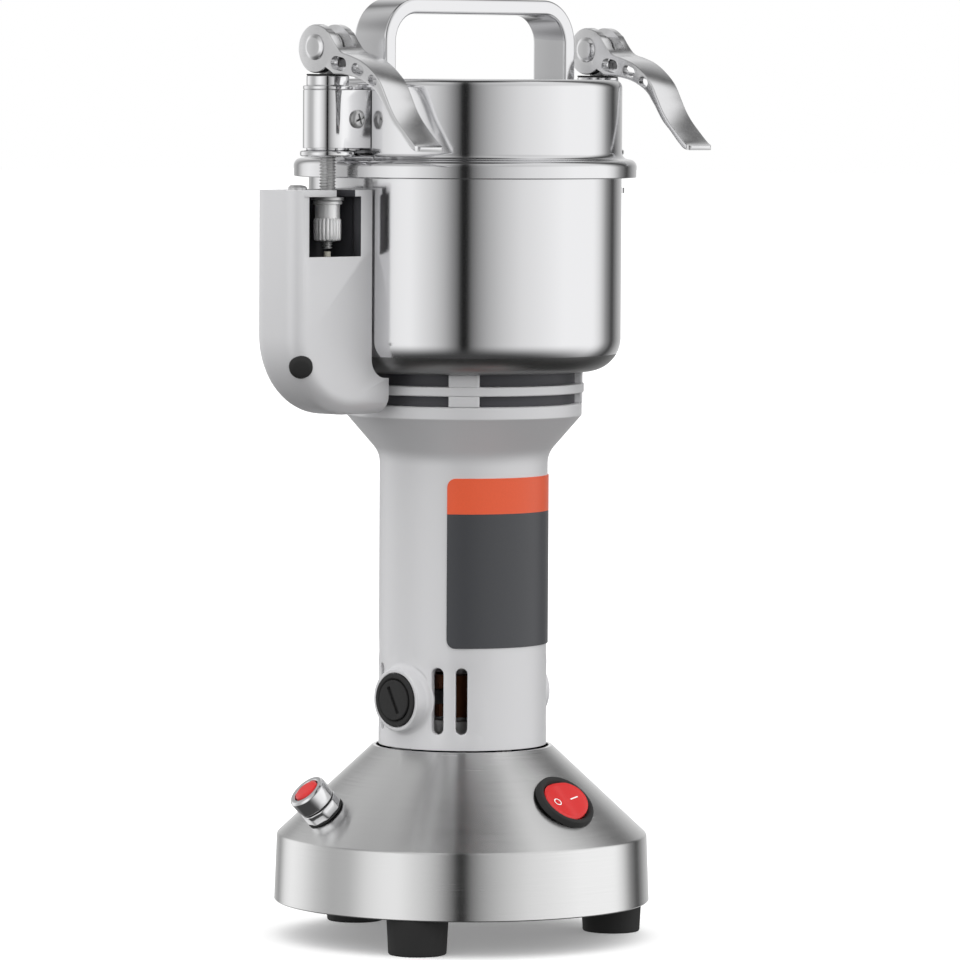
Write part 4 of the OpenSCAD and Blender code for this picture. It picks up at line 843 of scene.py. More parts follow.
@dataclass
class Base:
    """The steel base with its feet, rocker switch, reset button and gland. In millimetres."""

    foot_z: float = 13.0
    skirt_r: float = 67.5
    shoulder_r: float = 66.6
    shoulder_z: float = 36.9
    top_r: float = 32.3
    top_z: float = 69.0
    sheet: float = 1.2
    edge: float = 1.5
    hem: float = 0.4
    hole_rs: Flat = (9.6, 5.4)
    hole_levels: Flat = (-9.0, 6.0)
    foot_dirs: tuple[float, ...] = (89.0, 209.0, 329.0)
    foot_at: float = 56.0
    foot: Profile = ((4.5, 0.0, 0.0), (10.3, 0.0, 0.7), (11.0, 13.0, 0.5), (10.1, 13.0, 0.0),
                     (10.1, 14.0, 0.0), (0.0, 14.0, 0.0), (0.0, 4.33, 0.0), (4.5, 4.33, 0.0))
    rocker_dir: float = 270.0
    rocker_at: float = 51.0
    rocker_pivot: float = 0.8
    rocker_rest: float = -10.0
    bezel: Profile = ((8.65, -1.0, 0.0), (8.65, 1.1, 0.4), (9.3, 2.1, 0.5), (10.2, 2.6, 0.6),
                      (11.1, 2.3, 0.7), (11.5, 0.7, 0.5), (11.5, 0.0, 0.0), (9.4, 0.0, 0.0),
                      (9.4, -7.0, 0.0), (8.65, -7.0, 0.0))
    ball_r: float = 8.45
    ball_levels: tuple[float, ...] = (-3.9, -2.0, 0.0)
    # Shares of the ball's radius, and how far the button's face lies off its curve there
    ball_face: tuple[Flat, ...] = ((1.0, -0.45), (0.988, -0.16), (0.955, 0.0), (0.8, 0.0),
                                   (0.6, 0.0), (0.4, 0.0), (0.2, 0.0))
    mark_at: float = 3.7
    mark_lift: float = 0.06
    mark_ring: Flat = (1.15, 1.55)
    mark_bar: Flat = (1.5, 0.26)
    reset_dir: float = 165.0
    reset_at: float = 56.0
    nut_r: float = 7.5
    nut_sides: int = 8
    nut_levels: Flat = (0.6, 4.8)
    nut_bore: float = 6.15
    reset_cap: Profile = ((4.9, 5.5, 0.0), (7.2, 5.5, 0.2), (7.2, 11.1, 0.7), (6.5, 11.9, 0.5),
                          (5.2, 11.9, 0.35), (4.9, 11.3, 0.3))
    # Low and high level and radius of the two rings
    reset_seals: tuple[Corner, ...] = ((4.8, 5.5, 6.95), (0.0, 0.6, 7.3))
    seal_bore: float = 5.9
    reset_knob: Profile = ((0.0, 6.0, 0.0), (4.6, 6.0, 0.0), (4.6, 12.0, 0.9), (2.8, 12.45, 2.0),
                           (0.0, 12.5, 0.0))
    gland_dir: float = 60.0
    gland_z: float = 25.0
    gland_bore: float = 3.6
    gland_nut_r: float = 8.5
    gland_nut: Flat = (0.2, 4.2)
    gland_rs: tuple[float, float, float] = (7.4, 7.5, 5.3)
    gland_taper: float = 1.75
    gland_ribs: int = 9
    gland_dome_h: float = 9.0
    # Height over its place and depth of each point of a rib
    gland_rib: tuple[Flat, ...] = ((0.05, 0.0), (0.55, 0.0), (0.65, 0.28), (0.95, 0.28))
    gland_top: float = 13.2
    gland_stem: Flat = (5.9, -6.2)

    def on_cone(self, direction: float, radius: float) -> Matrix:
        """The frame of something that stands square on the cone.

        Args:
            direction: direction from the spindle, in degrees.
            radius: distance from the spindle.

        Returns:
            The frame, with X along the cone's rings, Y up its slope and Z away from it.
        """
        slope = (self.top_z - self.shoulder_z) / (self.shoulder_r - self.top_r)
        tilt = math.atan2(self.top_z - self.shoulder_z, self.shoulder_r - self.top_r)
        out = outward(direction)
        normal = out * math.sin(tilt) + Vector((0.0, 0.0, math.cos(tilt)))
        across = Vector((-out.y, out.x, 0.0))
        at = out * radius + Vector((0.0, 0.0, self.shoulder_z
                                    + (self.shoulder_r - radius) * slope))
        return Matrix.Translation(at) @ Matrix(
            (across, normal.cross(across), normal)).transposed().to_4x4()

    def build(self) -> None:
        """Builds and dresses the base."""
        self.shell()
        self.feet()
        self.rocker()
        self.reset()
        self.gland()

    def shell(self) -> None:
        """The skirt and cone, cut for the switches."""
        t = self.sheet
        profile = ((self.skirt_r - self.hem, self.foot_z, 0.0),
                   (self.skirt_r, self.foot_z + self.hem, 0.0),
                   (self.shoulder_r, self.shoulder_z, self.edge), (self.top_r, self.top_z, 0.5),
                   (self.top_r - t, self.top_z, 0.0), (self.top_r - t, self.top_z - t / 2, 0.0),
                   (self.shoulder_r - t * 0.9, self.shoulder_z - t, 1.0),
                   (self.skirt_r - t, self.foot_z, 0.0))
        shell = turned("base_shell_spun", profile, FINE_STEPS)
        places = ((self.rocker_dir, self.rocker_at), (self.reset_dir, self.reset_at))
        low, high = self.hole_levels
        cutters = [turned("hole", ((0.0, low, 0.0), (hole, low, 0.0), (hole, high, 0.0),
                                   (0.0, high, 0.0)), 48, self.on_cone(*place))
                   for place, hole in zip(places, self.hole_rs)]
        carve(shell, cutters, sharp=30.0)
        dress(shell, SPUN_STEEL, "housing", "base_shell")

    def feet(self) -> None:
        """Three rubber feet with a recess for the screw."""
        draft = Draft()
        for direction in self.foot_dirs:
            draft.lathe(rounded(self.foot), 56, closed=True,
                        frame_at=Matrix.Translation(outward(direction) * self.foot_at))
        dress(draft.build("rubber_feet_moulded"), RUBBER, "housing", "rubber_feet")

    def rocker(self) -> None:
        """The round rocker switch with its bezel and marks."""
        place = self.on_cone(self.rocker_dir, self.rocker_at)
        dress(turned("rocker_bezel_moulded", self.bezel, 96, place), BLACK_PLASTIC, "housing",
              "rocker_bezel")
        pivot = place @ Matrix.Translation((0.0, 0.0, self.rocker_pivot)) @ Matrix.Rotation(
            math.radians(self.rocker_rest), 4, "Y")
        dress(self.rocker_body(pivot), RED_PLASTIC, "rocker", "rocker_button")
        marks = Draft()
        marks.skin([self.mark(marks, pivot, circle(reach, 36, (-self.mark_at, 0.0)))
                    for reach in self.mark_ring])
        long, wide = self.mark_bar
        bar = rounded([(self.mark_at + u * long, v * wide, 0.2) for u, v in SQUARE], step=30.0)
        marks.bm.faces.new(self.mark(marks, pivot, bar))
        dress(marks.build("rocker_marks"), WHITE_PRINT, "rocker")

    def rocker_height(self, along: float) -> float:
        """Height of the button's face over its pivot at a distance along its swing."""
        return 0.75 + 0.062 * along * along / (1.0 + 0.035 * along * along)

    def mark(self, draft: Draft, pivot: Matrix, line: Sequence[Flat]) -> list[bmesh.types.BMVert]:
        """Adds a line of a mark, which lies on the button's face."""
        return draft.ring(pivot @ Vector((x, y, self.rocker_height(x) + self.mark_lift))
                          for x, y in line)

    def rocker_body(self, pivot: Matrix) -> bpy.types.Object:
        """The button: a ball's waist with a hollow face.

        Args:
            pivot: the frame of the swing, whose X runs along it.

        Returns:
            The button.
        """
        steps, ball = 72, self.ball_r
        draft = Draft()
        rings = [draft.round(0.0, self.ball_levels[0], steps, pivot)]
        rings += [draft.round(math.sqrt(ball * ball - low * low), low, steps, pivot)
                  for low in self.ball_levels]
        for share, lift in self.ball_face:
            line = []
            for x, y in circle(ball * share, steps):
                height = self.rocker_height(x) + lift
                fit = min(1.0, math.sqrt(max(0.0, ball * ball - height * height))
                          / math.hypot(x, y))
                line.append(pivot @ Vector((x * fit, y * fit, height)))
            rings.append(draft.ring(line))
        rings.append(draft.round(0.0, self.rocker_height(0.0), steps, pivot))
        draft.skin(rings)
        return draft.build("rocker_button_moulded", sharp=50.0)

    def reset(self) -> None:
        """The overload reset: chrome nut, rubber rings, cap and red button."""
        place = self.on_cone(self.reset_dir, self.reset_at)
        nut = Draft()
        corners = [(self.nut_r * math.cos(FULL * (k + 0.5) / self.nut_sides),
                    self.nut_r * math.sin(FULL * (k + 0.5) / self.nut_sides), 3.0)
                   for k in range(self.nut_sides)]
        nut.plate(rounded(corners), *self.nut_levels, holes=[circle(self.nut_bore)], edge=0.5,
                  frame_at=place)
        nut.lathe(rounded(self.reset_cap), 72, closed=True, frame_at=place)
        dress(nut.build("reset_nut_plated"), CHROME, "housing", "breaker_nut")
        ring = Draft()
        for low, high, reach in self.reset_seals:
            ring.lathe(rounded([(self.seal_bore, low, 0.0), (reach, low, 0.25),
                                (reach, high, 0.25), (self.seal_bore, high, 0.0)]), 72,
                       closed=True, frame_at=place)
        dress(ring.build("reset_seal_rings"), RUBBER, "housing")
        dress(turned("reset_button_moulded", self.reset_knob, 64, place), RED_PLASTIC, "reset",
              "reset_button")

    def gland(self) -> None:
        """The cord gland at the back: a hexagon and a ribbed dome round the cord's hole."""
        out = outward(self.gland_dir)
        drop = (self.skirt_r - self.shoulder_r) * (self.gland_z - self.foot_z) / (
            self.shoulder_z - self.foot_z)
        place = towards(out, out * (self.skirt_r - drop) + Vector((0.0, 0.0, self.gland_z)))
        bore, (low, high) = self.gland_bore, self.gland_nut
        draft = Draft()
        draft.plate(rounded([(x, y, 0.6) for x, y in circle(self.gland_nut_r, 6)]), low, high,
                    holes=[circle(bore, 40)], edge=0.4, frame_at=place)
        foot_r, dome_r, lip_r = self.gland_rs
        dome = [(bore, high), (foot_r, high)]
        for k in range(self.gland_ribs):
            share = k / (self.gland_ribs - 1)
            radius = dome_r - self.gland_taper * share ** 1.4
            dome += [(radius - depth, high + self.gland_dome_h * share + over)
                     for over, depth in self.gland_rib]
        dome = [(r, min(z, self.gland_top - 0.2)) for r, z in dome]
        dome += [(lip_r, self.gland_top), (bore, self.gland_top)]
        draft.lathe(dome, 56, closed=True, frame_at=place)
        stem_r, stem_low = self.gland_stem
        draft.lathe([(bore, stem_low), (stem_r, stem_low), (stem_r, low), (bore, low)], 48,
                    closed=True, frame_at=place)
        dress(draft.build("cord_gland_moulded"), BLACK_PLASTIC, "housing", "cord_gland")


@dataclass
class Column:
    """The motor column with its bosses, air slots, brush caps and label. In millimetres."""

    radius: float = 30.2
    low_z: float = 69.5
    band_z: float = 112.0
    flare_z: float = 174.0
    flange_z: float = 188.0
    top_z: float = 192.4
    flange_r: float = 42.3
    wall: float = 2.6
    lip: float = 6.0
    lip_ts: Flat = (5.0, 8.0)
    brush_z: float = 87.0
    boss_r: float = 11.35
    boss_x: float = 33.8
    boss_fillet: float = 1.6
    boss_root: float = 5.0
    socket: Flat = (9.7, 1.0)
    slot_w: float = 4.3
    slot_h: float = 23.7
    slot_dirs: tuple[float, ...] = (27.8, 44.4)
    slot_rim: float = 0.45
    slot_clear: Flat = (0.4, 1.0)
    band_levels: Flat = (5.0, 9.0)
    steps: int = 180
    cap_turn: float = 62.0
    holder_rim: Profile = ((7.3, 32.9, 0.0), (9.5, 32.9, 0.0), (9.5, 34.6, 0.5),
                           (8.0, 34.6, 0.3), (7.3, 33.9, 0.2))
    cap: Profile = ((0.0, 32.5, 0.0), (7.2, 32.5, 0.0), (7.2, 35.0, 0.45), (0.0, 35.0, 0.0))
    cap_slot: Flat = (5.2, 0.8)
    cap_slot_levels: Flat = (33.9, 36.0)
    label_dir: float = 214.1
    label_angle: float = 119.0
    label_low: float = 106.0
    label_high: float = 166.5
    label_corner: float = 3.0
    label_t: float = 0.42
    label_under: float = 0.02
    label_rims: Flat = (0.1, 0.12)
    label_ends: tuple[float, ...] = (0.0, 0.15, 0.45, 0.9, 1.5, 2.2)
    label_chord: float = 1.4
    label_rows: int = 8

    def slot_outlines(self) -> list[list[Flat]]:
        """Outlines of the air slots on the unrolled column."""
        outlines = []
        half_w, half_h = self.slot_w / 2, self.slot_h / 2
        for side in (0.0, 180.0):
            for direction in (*self.slot_dirs, *(-d for d in self.slot_dirs)):
                centre = math.radians((side + direction) % 360.0) * self.radius
                corners = [(centre + u * half_w, self.brush_z + v * half_h, half_w * 0.98)
                           for u, v in SQUARE]
                outlines.append(rounded(corners, step=18.0))
        return outlines

    def wrap(self, point: Flat, radius: float) -> Vector:
        """A point of the unrolled column on a cylinder."""
        angle = point[0] / self.radius
        return Vector((radius * math.cos(angle), radius * math.sin(angle), point[1]))

    def slotted_band(self, draft: Draft) -> None:
        """Adds the part of the wall that the air slots pass through.

        Args:
            draft: the draft that it is added to.
        """
        slots = self.slot_outlines()
        wide = [inset(outline, -self.slot_rim) for outline in slots]
        pitch = FULL * self.radius / self.steps
        levels = (self.low_z, self.low_z + self.band_levels[0], self.brush_z,
                  self.band_z - self.band_levels[1], self.band_z)
        points = [Vector((k * pitch, z)) for k in range(self.steps + 1) for z in levels]
        beside, beyond = self.slot_clear
        points = [p for p in points if not any(
            min(q[0] for q in w) - beside < p.x < max(q[0] for q in w) + beside
            and self.low_z + beyond < p.y < self.band_z - beyond for w in wide)]
        edges = []
        for outline in wide:
            start = len(points)
            points += [Vector(p) for p in outline]
            edges += [(start + k, start + (k + 1) % len(outline)) for k in range(len(outline))]
        places, _, faces, *_ = delaunay_2d_cdt(points, edges, [], 0, POLE)
        for radius in (self.radius, self.radius - self.wall):
            vertices = [draft.bm.verts.new(self.wrap(p, radius)) for p in places]
            for face in faces:
                middle = sum((places[k] for k in face), Vector((0.0, 0.0))) / len(face)
                if not any(self.inside(middle, outline) for outline in wide):
                    draft.bm.faces.new([vertices[k] for k in face])
        for outline, opened in zip(slots, wide):
            rings = []
            for k in range(4):
                bend = math.pi / 2 * k / 3
                share = math.sin(bend)
                line = [(a[0] + (b[0] - a[0]) * share, a[1] + (b[1] - a[1]) * share)
                        for a, b in zip(opened, outline)]
                drop = self.slot_rim * (1 - math.cos(bend))
                rings.append(draft.ring(self.wrap(p, self.radius - drop) for p in line))
            rings += [draft.ring(self.wrap(p, self.radius - self.wall) for p in line)
                      for line in (outline, opened)]
            draft.skin(rings)

    @staticmethod
    def inside(point: Vector, outline: Sequence[Flat]) -> bool:
        """Whether a point lies inside an outline."""
        odd = False
        for a, b in zip(outline, [*outline[1:], outline[0]]):
            if (a[1] > point.y) != (b[1] > point.y):
                if point.x < (b[0] - a[0]) * (point.y - a[1]) / (b[1] - a[1]) + a[0]:
                    odd = not odd
        return odd

    def brush_place(self, side: float, turn: float = 0.0) -> Matrix:
        """The frame of a brush, with Z out of the column on the side of +X or -X."""
        return towards(Vector((side, 0.0, 0.0)), Vector((0.0, 0.0, self.brush_z)), turn)

    def boss(self, draft: Draft, side: float) -> None:
        """Adds a brush boss with a fillet to the column.

        Args:
            draft: the draft that it is added to.
            side: 1 for +X and -1 for -X.
        """
        socket_r, socket_t = self.socket
        profile = rounded([(self.boss_r, self.radius - self.boss_root, 0.0),
                           (self.boss_r, self.boss_x, 0.9), (socket_r, self.boss_x, 0.25),
                           (socket_r, self.boss_x - socket_t, 0.0),
                           (0.0, self.boss_x - socket_t, 0.0)], closed=False)
        draft.lathe(profile, 72, frame_at=self.brush_place(side))
        rings = []
        for k in range(6):
            bend = math.pi / 2 * k / 5
            reach = self.boss_r + self.boss_fillet * (1 - math.cos(bend))
            lift = self.boss_fillet * (1 - math.sin(bend)) + 0.01
            rings.append(draft.ring(
                Vector((side * (math.sqrt(self.radius ** 2 - y * y) + lift), y, self.brush_z + z))
                for y, z in circle(reach, 72)))
        draft.skin(rings)

    def build(self) -> None:
        """Builds and dresses the column."""
        draft = Draft()
        self.slotted_band(draft)
        inner, (thin, thick) = self.radius - self.wall, self.lip_ts
        outer = rounded([(self.radius, self.band_z, 0.0), (self.radius, self.flare_z, 9.0),
                         (self.flange_r, self.flange_z, 0.9), (self.flange_r, self.top_z, 0.7),
                         (inner - self.lip, self.top_z, 0.4),
                         (inner - self.lip, self.top_z - thin, 0.0),
                         (inner, self.top_z - thick, 0.0), (inner, self.band_z, 0.0)],
                        closed=False)
        draft.lathe(outer, self.steps)
        draft.lathe([(self.radius, self.low_z), (inner, self.low_z)], self.steps)
        for side in (1.0, -1.0):
            self.boss(draft, side)
        dress(draft.build("motor_column_cast", sharp=50.0), SILVER_PAINT, "housing",
              "motor_column")
        self.caps()
        self.label()

    def caps(self) -> None:
        """The black rims and slotted caps over the brushes."""
        rims, caps, cutters = Draft(), Draft(), []
        long, wide = self.cap_slot
        for side in (1.0, -1.0):
            place = self.brush_place(side, self.cap_turn * side)
            rims.lathe(rounded(self.holder_rim), 72, closed=True, frame_at=place)
            caps.lathe(rounded(self.cap), 72, frame_at=place)
            cutters.append(block(rounded([(u * long, v * wide, 0.2) for u, v in SQUARE]),
                                 *self.cap_slot_levels, place))
        cap_piece = caps.build("brush_caps_moulded")
        carve(cap_piece, cutters, bevel=0.12)
        dress(rims.build("brush_rims_moulded"), BLACK_PLASTIC, "housing", "brush_holders")
        dress(cap_piece, BLACK_PLASTIC, "housing", "brush_caps")

    def label(self) -> None:
        """The bare label with rounded corners, wrapped round the column."""
        length = math.radians(self.label_angle) * self.radius
        corner, t = self.label_corner, self.label_t
        out_rim, up_rim = self.label_rims
        near = [*self.label_ends, corner]
        count = round(length / self.label_chord)
        places = near + [corner + (length - 2 * corner) * k / count for k in range(1, count)]
        places += [length - d for d in reversed(near)]
        draft = Draft()
        rings = []
        for place in places:
            edge = max(0.0, corner - min(place, length - place))
            cut = corner - math.sqrt(corner * corner - edge * edge)
            low, high = self.label_low + cut, self.label_high - cut
            angle = math.radians(self.label_dir) + place / self.radius
            rows = [(self.label_under, low), (t - out_rim, low), (t, low + up_rim)]
            rows += [(t, low + (high - low) * k / self.label_rows)
                     for k in range(1, self.label_rows)]
            rows += [(t, high - up_rim), (t - out_rim, high), (self.label_under, high)]
            rings.append(draft.ring(
                Vector(((self.radius + out) * math.cos(angle),
                        (self.radius + out) * math.sin(angle), z)) for out, z in rows))
        draft.skin(rings, caps=True)
        dress(draft.build("label_film_piece"), LABEL_FILM, "housing", "label_plate")


@dataclass
class Chamber:
    """The polished grinding chamber and the ring below it. In millimetres."""

    low_z: float = 203.8
    rim_z: float = 275.2
    radius: float = 56.1
    wall: float = 1.2
    corner: float = 12.0
    rim_r: float = 59.7
    rim_t: float = 1.6
    shaft_hole_r: float = 4.6
    # How far down a face must point to take the painted shade
    dull_from: float = -0.45
    ring: Profile = ((36.2, 196.16, 0.4), (43.0, 196.16, 0.5), (43.0, 199.56, 0.5),
                     (36.2, 199.56, 0.4))
    block_count: int = 4
    block_rs: Flat = (36.5, 42.45)
    block_half_w: float = 5.5
    block_levels: tuple[Flat, ...] = ((192.4, 196.3), (199.4, 203.8))
    # Radii and levels of the dark sheet in the air gap's openings, painted shade for the hollow
    # behind them
    guard_rs: Flat = (39.2, 40.0)
    guard_levels: tuple[Flat, ...] = ((192.5, 196.1), (199.62, 203.7))

    def build(self) -> None:
        """Builds and dresses the chamber; its downward faces near the bottom get a darker copy of
        the steel as painted shade.
        """
        inner, top = self.radius - self.wall, self.rim_z - self.rim_t
        profile = ((self.shaft_hole_r, self.low_z, 0.0), (self.radius, self.low_z, self.corner),
                   (self.radius, top, 0.8), (self.rim_r, top, 0.6), (self.rim_r, self.rim_z, 0.6),
                   (inner, self.rim_z, 0.9),
                   (inner, self.low_z + self.wall, self.corner - self.wall),
                   (self.shaft_hole_r, self.low_z + self.wall, 0.0))
        body = turned("grinding_chamber_drawn", profile, FINE_STEPS, step=6.0)
        dress(body, POLISHED_STEEL, "housing", "grinding_chamber")
        # Downward faces near the bottom get the darker steel as painted shade
        dress_faces(body, PAINTED_SHADE_STEEL, lambda face: face.normal.z < self.dull_from
                    and face.center.z < (self.low_z + self.corner) * MM)
        self.vent_ring()

    def vent_ring(self) -> None:
        """The cast ring in the air gap, the four blocks that carry the chamber, and a dark sheet
        in the gap's openings as painted shade.
        """
        draft = Draft()
        draft.lathe(rounded(self.ring), 144, closed=True)
        (near, far), half = self.block_rs, self.block_half_w
        outline = rounded([(near, -half, 0.8), (far, -half, 0.8), (far, half, 0.8),
                           (near, half, 0.8)])
        for k in range(self.block_count):
            turn = math.radians(45.0) + FULL * k / self.block_count
            for low, high in self.block_levels:
                draft.plate(outline, low, high, edge=0.25, frame_at=Matrix.Rotation(turn, 4, "Z"))
        dress(draft.build("vent_ring_cast"), SILVER_PAINT, "housing", "vent_ring")
        # A dark sheet behind the openings, painted shade for the dim inside
        shade_sheet = Draft()
        near, far = self.guard_rs
        for low, high in self.guard_levels:
            shade_sheet.lathe([(near, low), (far, low), (far, high), (near, high)], 96, closed=True)
        dress(shade_sheet.build("vent_guard"), SHADE_AND_DARK_SHEET, "housing")


@dataclass
class Lid:
    """The polished lid and its handle. In millimetres."""

    flange_r: float = 61.4
    low_z: float = 273.0
    shoulder_z: float = 279.5
    radius: float = 56.1
    top_z: float = 308.0
    sheet: float = 1.2
    handle_x: float = 48.0
    handle_z: float = 336.5
    handle_w: float = 16.5
    handle_t: float = 5.5
    handle_edge: float = 1.2
    handle_r: float = 22.0

    def build(self) -> None:
        """Builds and dresses the lid."""
        t = self.sheet
        profile = ((self.flange_r - t, self.low_z, 0.0), (self.flange_r, self.low_z, 0.5),
                   (self.flange_r, self.shoulder_z, 3.0), (self.radius, self.shoulder_z, 3.5),
                   (self.radius, self.top_z, 3.0), (0.0, self.top_z, 0.0),
                   (0.0, self.top_z - t, 0.0), (self.radius - t, self.top_z - t, 1.8),
                   (self.radius - t, self.shoulder_z - t, 4.7),
                   (self.flange_r - t, self.shoulder_z - t, 1.8))
        dress(turned("lid_shell_drawn", profile, FINE_STEPS, step=6.0), POLISHED_STEEL, "lid",
              "lid_shell")
        self.handle()

    def handle(self) -> None:
        """The bent handle band with its rounded section."""
        half = self.handle_t / 2
        leg, top, bend = self.handle_x - half, self.handle_z - half, self.handle_r - half
        path = rounded([(-leg, self.top_z, 0.0), (-leg, top, bend), (leg, top, bend),
                        (leg, self.top_z, 0.0)], closed=False, step=4.0)
        section = rounded([(u * self.handle_w / 2, v * half, self.handle_edge)
                           for u, v in SQUARE], step=12.0)
        draft = Draft()
        draft.skin([draft.ring(Vector((x + out.x * v, u, z + out.y * v)) for u, v in section)
                    for (x, z), out in zip(path, normals(path))], caps=True)
        dress(draft.build("handle_band"), POLISHED_STEEL, "lid", "handle")


@dataclass
class PanScrew:
    """A pan head screw with a cross recess. In millimetres."""

    radius: float
    height: float
    # Shares of the radius and height, and rounding, of the head's corner and shoulder
    corner: Flat = (0.45, 0.3)
    shoulder: tuple[float, float, float] = (0.72, 0.93, 0.5)
    root: float = 1.0
    turn: float = 20.0
    arm: Flat = (0.62, 0.36)
    depth: float = 0.85

    def add(self, draft: Draft, place: Matrix) -> None:
        """Adds the screw's head to a draft, with Z of the place out of the surface."""
        r, h = self.radius, self.height
        at, bend = self.corner
        across, up, curve = self.shoulder
        body = turned("head", ((0.0, -self.root, 0.0), (r, -self.root, 0.0),
                               (r, h * at, h * bend), (r * across, h * up, r * curve),
                               (0.0, h, 0.0)), 40, place)
        long, wide = self.arm
        arm = [(u * r * long, v * wide) for u, v in SQUARE]
        carve(body, [block(arm, h - self.depth, h + 1.0,
                           place @ Matrix.Rotation(math.radians(self.turn + quarter), 4, "Z"))
                     for quarter in (0.0, 90.0)], bevel=0.08)
        draft.bm.from_mesh(body.data)
        fresh = draft.bm.verts[-len(body.data.vertices):]
        bmesh.ops.scale(draft.bm, vec=(1 / MM, 1 / MM, 1 / MM), verts=fresh)
        bpy.data.meshes.remove(body.data)


@dataclass
class LatchBox:
    """The cast box round the left nut, which hides the safety switch. In millimetres."""

    out_x: float = 92.5
    front: float = 10.0
    back: float = 13.0
    low_z: float = 189.9
    top_z: float = 269.0
    bend: float = 28.5
    corner: float = 6.5
    wall: float = 2.3
    chamber_r: float = 56.9
    chamber_low: Flat = (202.6, 13.2)
    foot_r: float = 48.6
    foot_top: float = 203.4
    seat_z: float = 192.4
    tongue: Flat = (2.0, 12.0)
    ring_r: float = 43.2
    tongue_z: float = 195.96
    tongue_x: float = 36.5
    shelf_z: float = 235.1
    inner_x: float = 60.4
    reach_x: float = 26.0
    window: tuple[float, float, float, float] = (-86.0, -61.5, 245.7, 266.7)
    slot: tuple[float, float, float] = (-73.4, -64.4, 10.7)
    facet: Flat = (-90.5, -9.4)
    screw: Flat = (-80.1, 2.0)
    plug_way: Flat = (229.0, -18.0)
    plug_at: Corner = (-84.5, -3.5, 209.3)
    plug_profile: Profile = ((0.0, 3.5, 0.0), (4.15, 3.5, 0.0), (4.15, 6.5, 0.35),
                             (2.9, 7.25, 2.0), (0.0, 7.6, 0.0))
    # Ranges of X, Y and Z that pass the box on both sides, for the cutters
    across: Flat = (-110.0, 20.0)
    through: Flat = (-30.0, 30.0)
    beyond: Flat = (150.0, 320.0)
    seat_end: float = 300.0
    tongue_end: float = 240.0
    overcut: float = 9.0
    slot_over: Flat = (0.5, 5.0)

    def form(self, wall: float, low: float, high: float, inner: float) -> bpy.types.Object:
        """The box's form, or with a wall the form of its hollow.

        Args:
            wall: how far the form lies inside the box.
            low: its lowest height.
            high: its highest height.
            inner: how near to the spindle it reaches.

        Returns:
            The form.
        """
        left = -self.out_x + wall
        outline = rounded([(left, high, 0.0), (left, self.low_z + wall, self.bend - wall),
                           (-inner, self.low_z + wall, 0.0), (-inner, high, 0.0)], step=5.0)
        draft = Draft()
        draft.plate(outline, -self.back + wall, self.front - wall, edge=self.corner - wall,
                    frame_at=FRONT_FRAME, chords=8)
        form = draft.build("form")
        if wall > 0.0:
            carve(form, [self.slab((-self.out_x - 1.0, -inner + 1.0), low - 60.0, low)])
        return form

    def slab(self, x: Flat, low: float, high: float, y: Flat | None = None) -> bpy.types.Object:
        """A box to cut with, from its ranges."""
        y = y or self.through
        return block([(x[0], y[0]), (x[1], y[0]), (x[1], y[1]), (x[0], y[1])], low, high)

    def build(self) -> None:
        """Builds and dresses the box, its screw and its plug."""
        front, (low, high) = self.through[0], self.window[2:]
        seat_low, seat_bend = self.chamber_low
        body = self.form(0.0, self.low_z, self.top_z + self.overcut, self.reach_x)
        seat = turned("seat", ((0.0, self.tongue_z, 0.0), (self.ring_r, self.tongue_z, 0.0),
                               (self.ring_r, seat_low, 0.0), (self.chamber_r, seat_low, seat_bend),
                               (self.chamber_r, self.seat_end, 0.0), (0.0, self.seat_end, 0.0)),
                      FINE_STEPS, step=6.0)
        foot = turned("foot", ((0.0, self.beyond[0], 0.0), (self.foot_r, self.beyond[0], 0.0),
                               (self.foot_r, self.foot_top, 0.0), (0.0, self.foot_top, 0.0)),
                      FINE_STEPS)
        carve(foot, [self.slab(self.across, self.seat_z, self.tongue_end, self.tongue)])
        inside = self.top_z - self.wall
        carve(body, [
            self.slab(self.across, self.top_z, self.top_z + 30.0),
            self.slab((self.facet[0], self.window[0] + 2.0), low, high, (front, self.facet[1])),
            self.slab((-self.tongue_x, self.across[1]), *self.beyond), foot, seat,
            self.form(self.wall, self.shelf_z, inside, self.inner_x),
            self.slab(self.window[:2], low, high, (front, 0.0)),
            self.slab(self.slot[:2], inside - self.slot_over[0], self.top_z + self.slot_over[1],
                      (front, self.slot[2]))],
              bevel=0.35, sharp=32.0)
        body.name = body.data.name = "latch_box_cast"
        dress(body, SILVER_PAINT, "housing", "latch_box")
        # The hollow's faces get the dark sheet as painted shade
        dress_faces(body, SHADE_AND_DARK_SHEET, self.is_inside)
        screws = Draft()
        PanScrew(2.85, 1.6).add(screws, Matrix.Translation((*self.screw, self.top_z)))
        dress(screws.build("latch_box_screw_head"), SCREW_STEEL, "housing")
        way, dip = (math.radians(a) for a in self.plug_way)
        out = Vector((math.cos(way) * math.cos(dip), math.sin(way) * math.cos(dip),
                      math.sin(dip)))
        dress(turned("latch_box_plug_moulded", self.plug_profile, 48,
                     towards(out, Vector(self.plug_at))), BLACK_PLASTIC, "housing",
              "latch_box_plug")

    def is_inside(self, face: bpy.types.MeshPolygon) -> bool:
        """Whether a face lies in the box's hollow, which is painted dark as shade."""
        at, skin = face.center / MM, self.wall * 0.6
        past = Vector((min(0.0, at.x + self.out_x - self.corner),
                       max(0.0, at.y - self.back + self.corner, -at.y - self.front + self.corner)))
        return (-self.out_x + self.wall + 0.3 < at.x < -self.inner_x + 1.2
                and past.length < self.corner - skin
                and self.shelf_z - 1.0 < at.z < self.top_z - skin)


class Side(Enum):
    """Which of the two latches."""

    LEFT = -1.0
    RIGHT = 1.0

    @property
    def word(self) -> str:
        """The side as names have it."""
        return self.name.lower()


